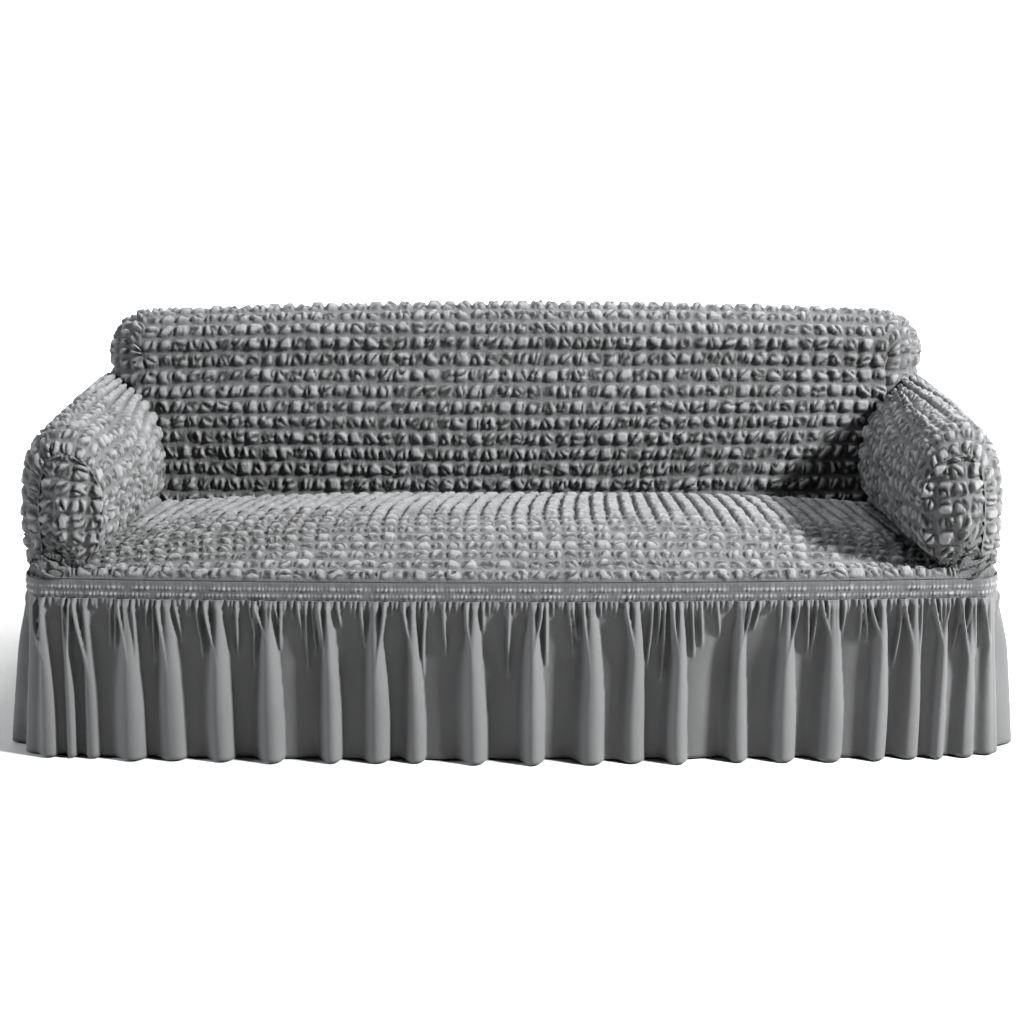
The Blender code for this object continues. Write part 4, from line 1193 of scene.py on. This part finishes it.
def skirt_surface(start, end, folds, seed, depth_of_gathers):
    """Outer face of a skirt panel, from metres along the base plan and the rise 0 to 1.  Tube
    shaped folds stand on a flatter ground, and run together upwards into the gathers."""
    ridges = np.array(folds)
    length = end - start
    room = np.gradient(ridges[:, 0])
    uneven = np.random.default_rng(seed + 5).uniform(0.72, 1.15, len(ridges))
    halves = np.clip(0.34 * room, 0.012, RIDGE_HALF) * uneven
    fine = gathers(length, ridges, seed)

    def surface(along, rise):
        ahead = along - start
        drop = 1 - rise
        wander = waves(ahead * 9, drop * 2.2, seed + 1, low=0.6, high=1.8)
        at = ahead + SKIRT_WANDER * wander * 4 * drop * rise
        flare_share = curve(SKIRT_ROWS, rise)[0]
        grown = smoothstep(drop, -0.05, 0.42)
        widened = 0.35 * smoothstep(drop, 0.0, 0.25) + 0.65 * smoothstep(drop, 0.05, 0.80)
        union = np.zeros_like(at)
        for (centre, depth), half in zip(ridges, halves):
            width = 0.36 * half + 0.64 * half * widened
            tall = depth_of_gathers + (depth - depth_of_gathers) * grown
            union += (tall * main_fold((at - centre) / width)) ** 4
        for begin, finish, gone, strength in fine:
            t = np.clip(drop / gone, 0, 1)
            centre = begin + (finish - begin) * smoothstep(t, 0, 1)
            tall = depth_of_gathers * strength * (1 + 1.5 * drop) * (1 - t ** 3)
            width = GATHER_HALF * (1.1 - 0.6 * t + 1.5 * drop)
            union += (tall * tube((at - centre) / width)) ** 4
        ground = FLOOR_SHARE * np.interp(ahead, ridges[:, 0], ridges[:, 1]) * grown
        ripple = SKIRT_RIPPLE * waves(ahead * 30, drop * 1.5, seed + 2, low=0.5, high=2.2) * grown
        calm = smoothstep(ahead, 0, 0.03) * smoothstep(length - ahead, 0, 0.03)
        tucked = 0.45 + 0.55 * smoothstep(drop, 0, 0.04)
        out = (union ** 0.25 * tucked - ground + ripple) * calm - SKIRT_SET_BACK
        x, y = base_point(along)
        ridge_x, ridge_y = base_point(along, out)
        out_x, out_y = base_point(along, 1.0)
        flare_y = np.where(out_y < y, FRONT_FLARE, REAR_FLARE)
        x = ridge_x + flare_share * SIDE_FLARE * (out_x - x)
        y = ridge_y + flare_share * flare_y * (out_y - y)
        z = HEM_Z + rise * (BAND_LOW_Z - SEAM - HEM_Z)
        return np.stack([x, y, z], axis=-1)
    return surface


# panel, seed, coarse columns per metre, coarse rows
SKIRT_PANELS = [("skirt_front", 21, 225, 28), ("skirt_right", 22, 200, 26),
                ("skirt_back", 23, 120, 18), ("skirt_left", 24, 200, 26)]


class SLIPCOVER_OT_skirt(bpy.types.Operator):
    """Four gathered panels from the waistband to the floor"""
    bl_idname = "slipcover.skirt"
    bl_label = "Skirt"

    def execute(self, context):
        settings = context.scene.slipcover
        spans = zip(SKIRT_PANELS, CORNERS, CORNERS[1:])
        for index, ((name, seed, density, row_count), start, end) in enumerate(spans):
            folds = FRONT_FOLDS if index == 0 else hidden_folds(end - start, 1.3 * index)
            gather = settings.gather_depth * (1.0 if index == 0 else HIDDEN_GATHER_SHARE)
            surface = skirt_surface(start, end, folds, seed, gather)
            columns = np.linspace(start + SEAM, end - SEAM, int((end - start) * density) + 1)
            rows = 1 - np.linspace(0, 1, row_count + 1)[::-1] ** 1.25
            piece = cloth(name + "_cloth", surface, sunk(surface, SKIRT_CLOTH, 0.0006),
                          columns, rows, (2, 2))
            piece.data.materials.append(material("woven_skirt", woven_skirt))
            hand_over(piece, name)
        return {"FINISHED"}


# ---- stage ---------------------------------------------------------------------
CAMERA_PLACE = (0.0, -4.031, 1.5)
CAMERA_PITCH = 14.781     # degrees below the horizon
CAMERA_LENS, CAMERA_SENSOR = 62.29, 36.0      # millimetres
FLOOR_COLOUR = (0.72, 0.72, 0.72, 1.0)
FLOOR_REACH = 14.0        # to either side
# the floor turns up into a wall far behind: where it starts and bends, the bend's radius, the
# wall's top
FLOOR_START, BEND_Y, BEND_RADIUS, WALL_TOP = -12.0, 2.6, 2.0, 9.0
SKY_COLOUR, SKY_STRENGTH = (0.97, 0.98, 1.0, 1.0), 0.01
# place, aim, width and height, watts, colour
LIGHTS = {
    "key": ((6.6, -3.0, 5.6), (0, 0, 0.4), (0.9, 0.9), 1440, (1, 0.995, 0.985)),
    "left": ((-7.0, -1.5, 3.2), (0, 0, 0.4), (1.5, 1.5), 260, (0.98, 0.99, 1)),
    "top": ((0.9, 0.6, 5.0), (0.9, 0.6, 0), (2.0, 1.0), 90, (1, 1, 1)),
    "backdrop": ((0.0, 1.6, 4.5), (0, 4.6, 3.0), (9, 1.0), 200, (1, 1, 1)),
}


def light(name, place, target, size, power, colour):
    lamp = bpy.data.lights.new(name, "AREA")
    lamp.shape = "RECTANGLE"
    lamp.size, lamp.size_y = size
    lamp.energy = power
    lamp.color = colour
    made = placed(name, lamp)
    made.location = place
    made.rotation_euler = (Vector(target) - Vector(place)).to_track_quat("-Z", "Y").to_euler()


def matt_floor(n, settings):
    shader = n.add("ShaderNodeBsdfPrincipled", into={
        "Base Color": FLOOR_COLOUR, "Roughness": 0.95, "Specular IOR Level": 0.0})
    n.add("ShaderNodeOutputMaterial", shader.outputs[0])


class SLIPCOVER_OT_stage(bpy.types.Operator):
    """Pale floor, soft light and the camera"""
    bl_idname = "slipcover.stage"
    bl_label = "Stage"

    def execute(self, context):
        scene = context.scene
        bend = [(BEND_Y + BEND_RADIUS * np.sin(turn), BEND_RADIUS - BEND_RADIUS * np.cos(turn))
                for turn in np.radians(np.linspace(0, 90, 13))]
        profile = [(FLOOR_START, 0.0), (BEND_Y, 0.0), *bend, (BEND_Y + BEND_RADIUS, WALL_TOP)]
        points = [(side * FLOOR_REACH, y, z) for y, z in profile for side in (-1, 1)]
        faces = [(2 * k, 2 * k + 1, 2 * k + 3, 2 * k + 2) for k in range(len(profile) - 1)]
        mesh = bpy.data.meshes.new("floor")
        mesh.from_pydata(points, [], faces)
        mesh.shade_smooth()
        mesh.materials.append(material("studio_floor", matt_floor))
        placed("floor", mesh)

        world = bpy.data.worlds.new("studio")
        scene.world = world
        world.use_nodes = True
        sky = world.node_tree.nodes["Background"]
        sky.inputs["Color"].default_value = SKY_COLOUR
        sky.inputs["Strength"].default_value = SKY_STRENGTH
        for name, values in LIGHTS.items():
            light(name, *values)

        lens = bpy.data.cameras.new("camera")
        lens.sensor_width = CAMERA_SENSOR
        lens.lens = CAMERA_LENS
        camera = placed("camera", lens)
        camera.location = CAMERA_PLACE
        camera.rotation_euler = (np.radians(90 - CAMERA_PITCH), 0, 0)
        scene.camera = camera
        scene.view_settings.view_transform = "Standard"
        scene.view_settings.look = "High Contrast"
        return {"FINISHED"}


# ---- panel in the sidebar ------------------------------------------------------
STEPS = ["inside_back", "outside_back", "seat", "arms", "waistband", "skirt", "stage"]


class SLIPCOVER_PT_panel(bpy.types.Panel):
    """Lists the slipcover's pieces and settings"""
    bl_label = "Slipcover"
    bl_idname = "SLIPCOVER_PT_panel"
    bl_space_type = "VIEW_3D"
    bl_region_type = "UI"
    bl_category = "Slipcover"

    def draw(self, context):
        for key in SlipcoverSettings.__annotations__:
            self.layout.prop(context.scene.slipcover, key)
        for step in STEPS:
            self.layout.operator("slipcover." + step)


CLASSES = [SlipcoverSettings, SLIPCOVER_OT_inside_back, SLIPCOVER_OT_outside_back, SLIPCOVER_OT_seat,
           SLIPCOVER_OT_arms, SLIPCOVER_OT_waistband, SLIPCOVER_OT_skirt, SLIPCOVER_OT_stage,
           SLIPCOVER_PT_panel]


def register():
    for each in CLASSES:
        bpy.utils.register_class(each)
    bpy.types.Scene.slipcover = PointerProperty(type=SlipcoverSettings)


def unregister():
    del bpy.types.Scene.slipcover
    for each in reversed(CLASSES):
        bpy.utils.unregister_class(each)


def main():
    register()
    for step in STEPS:
        getattr(bpy.ops.slipcover, step)()


if __name__ == "__main__":
    main()
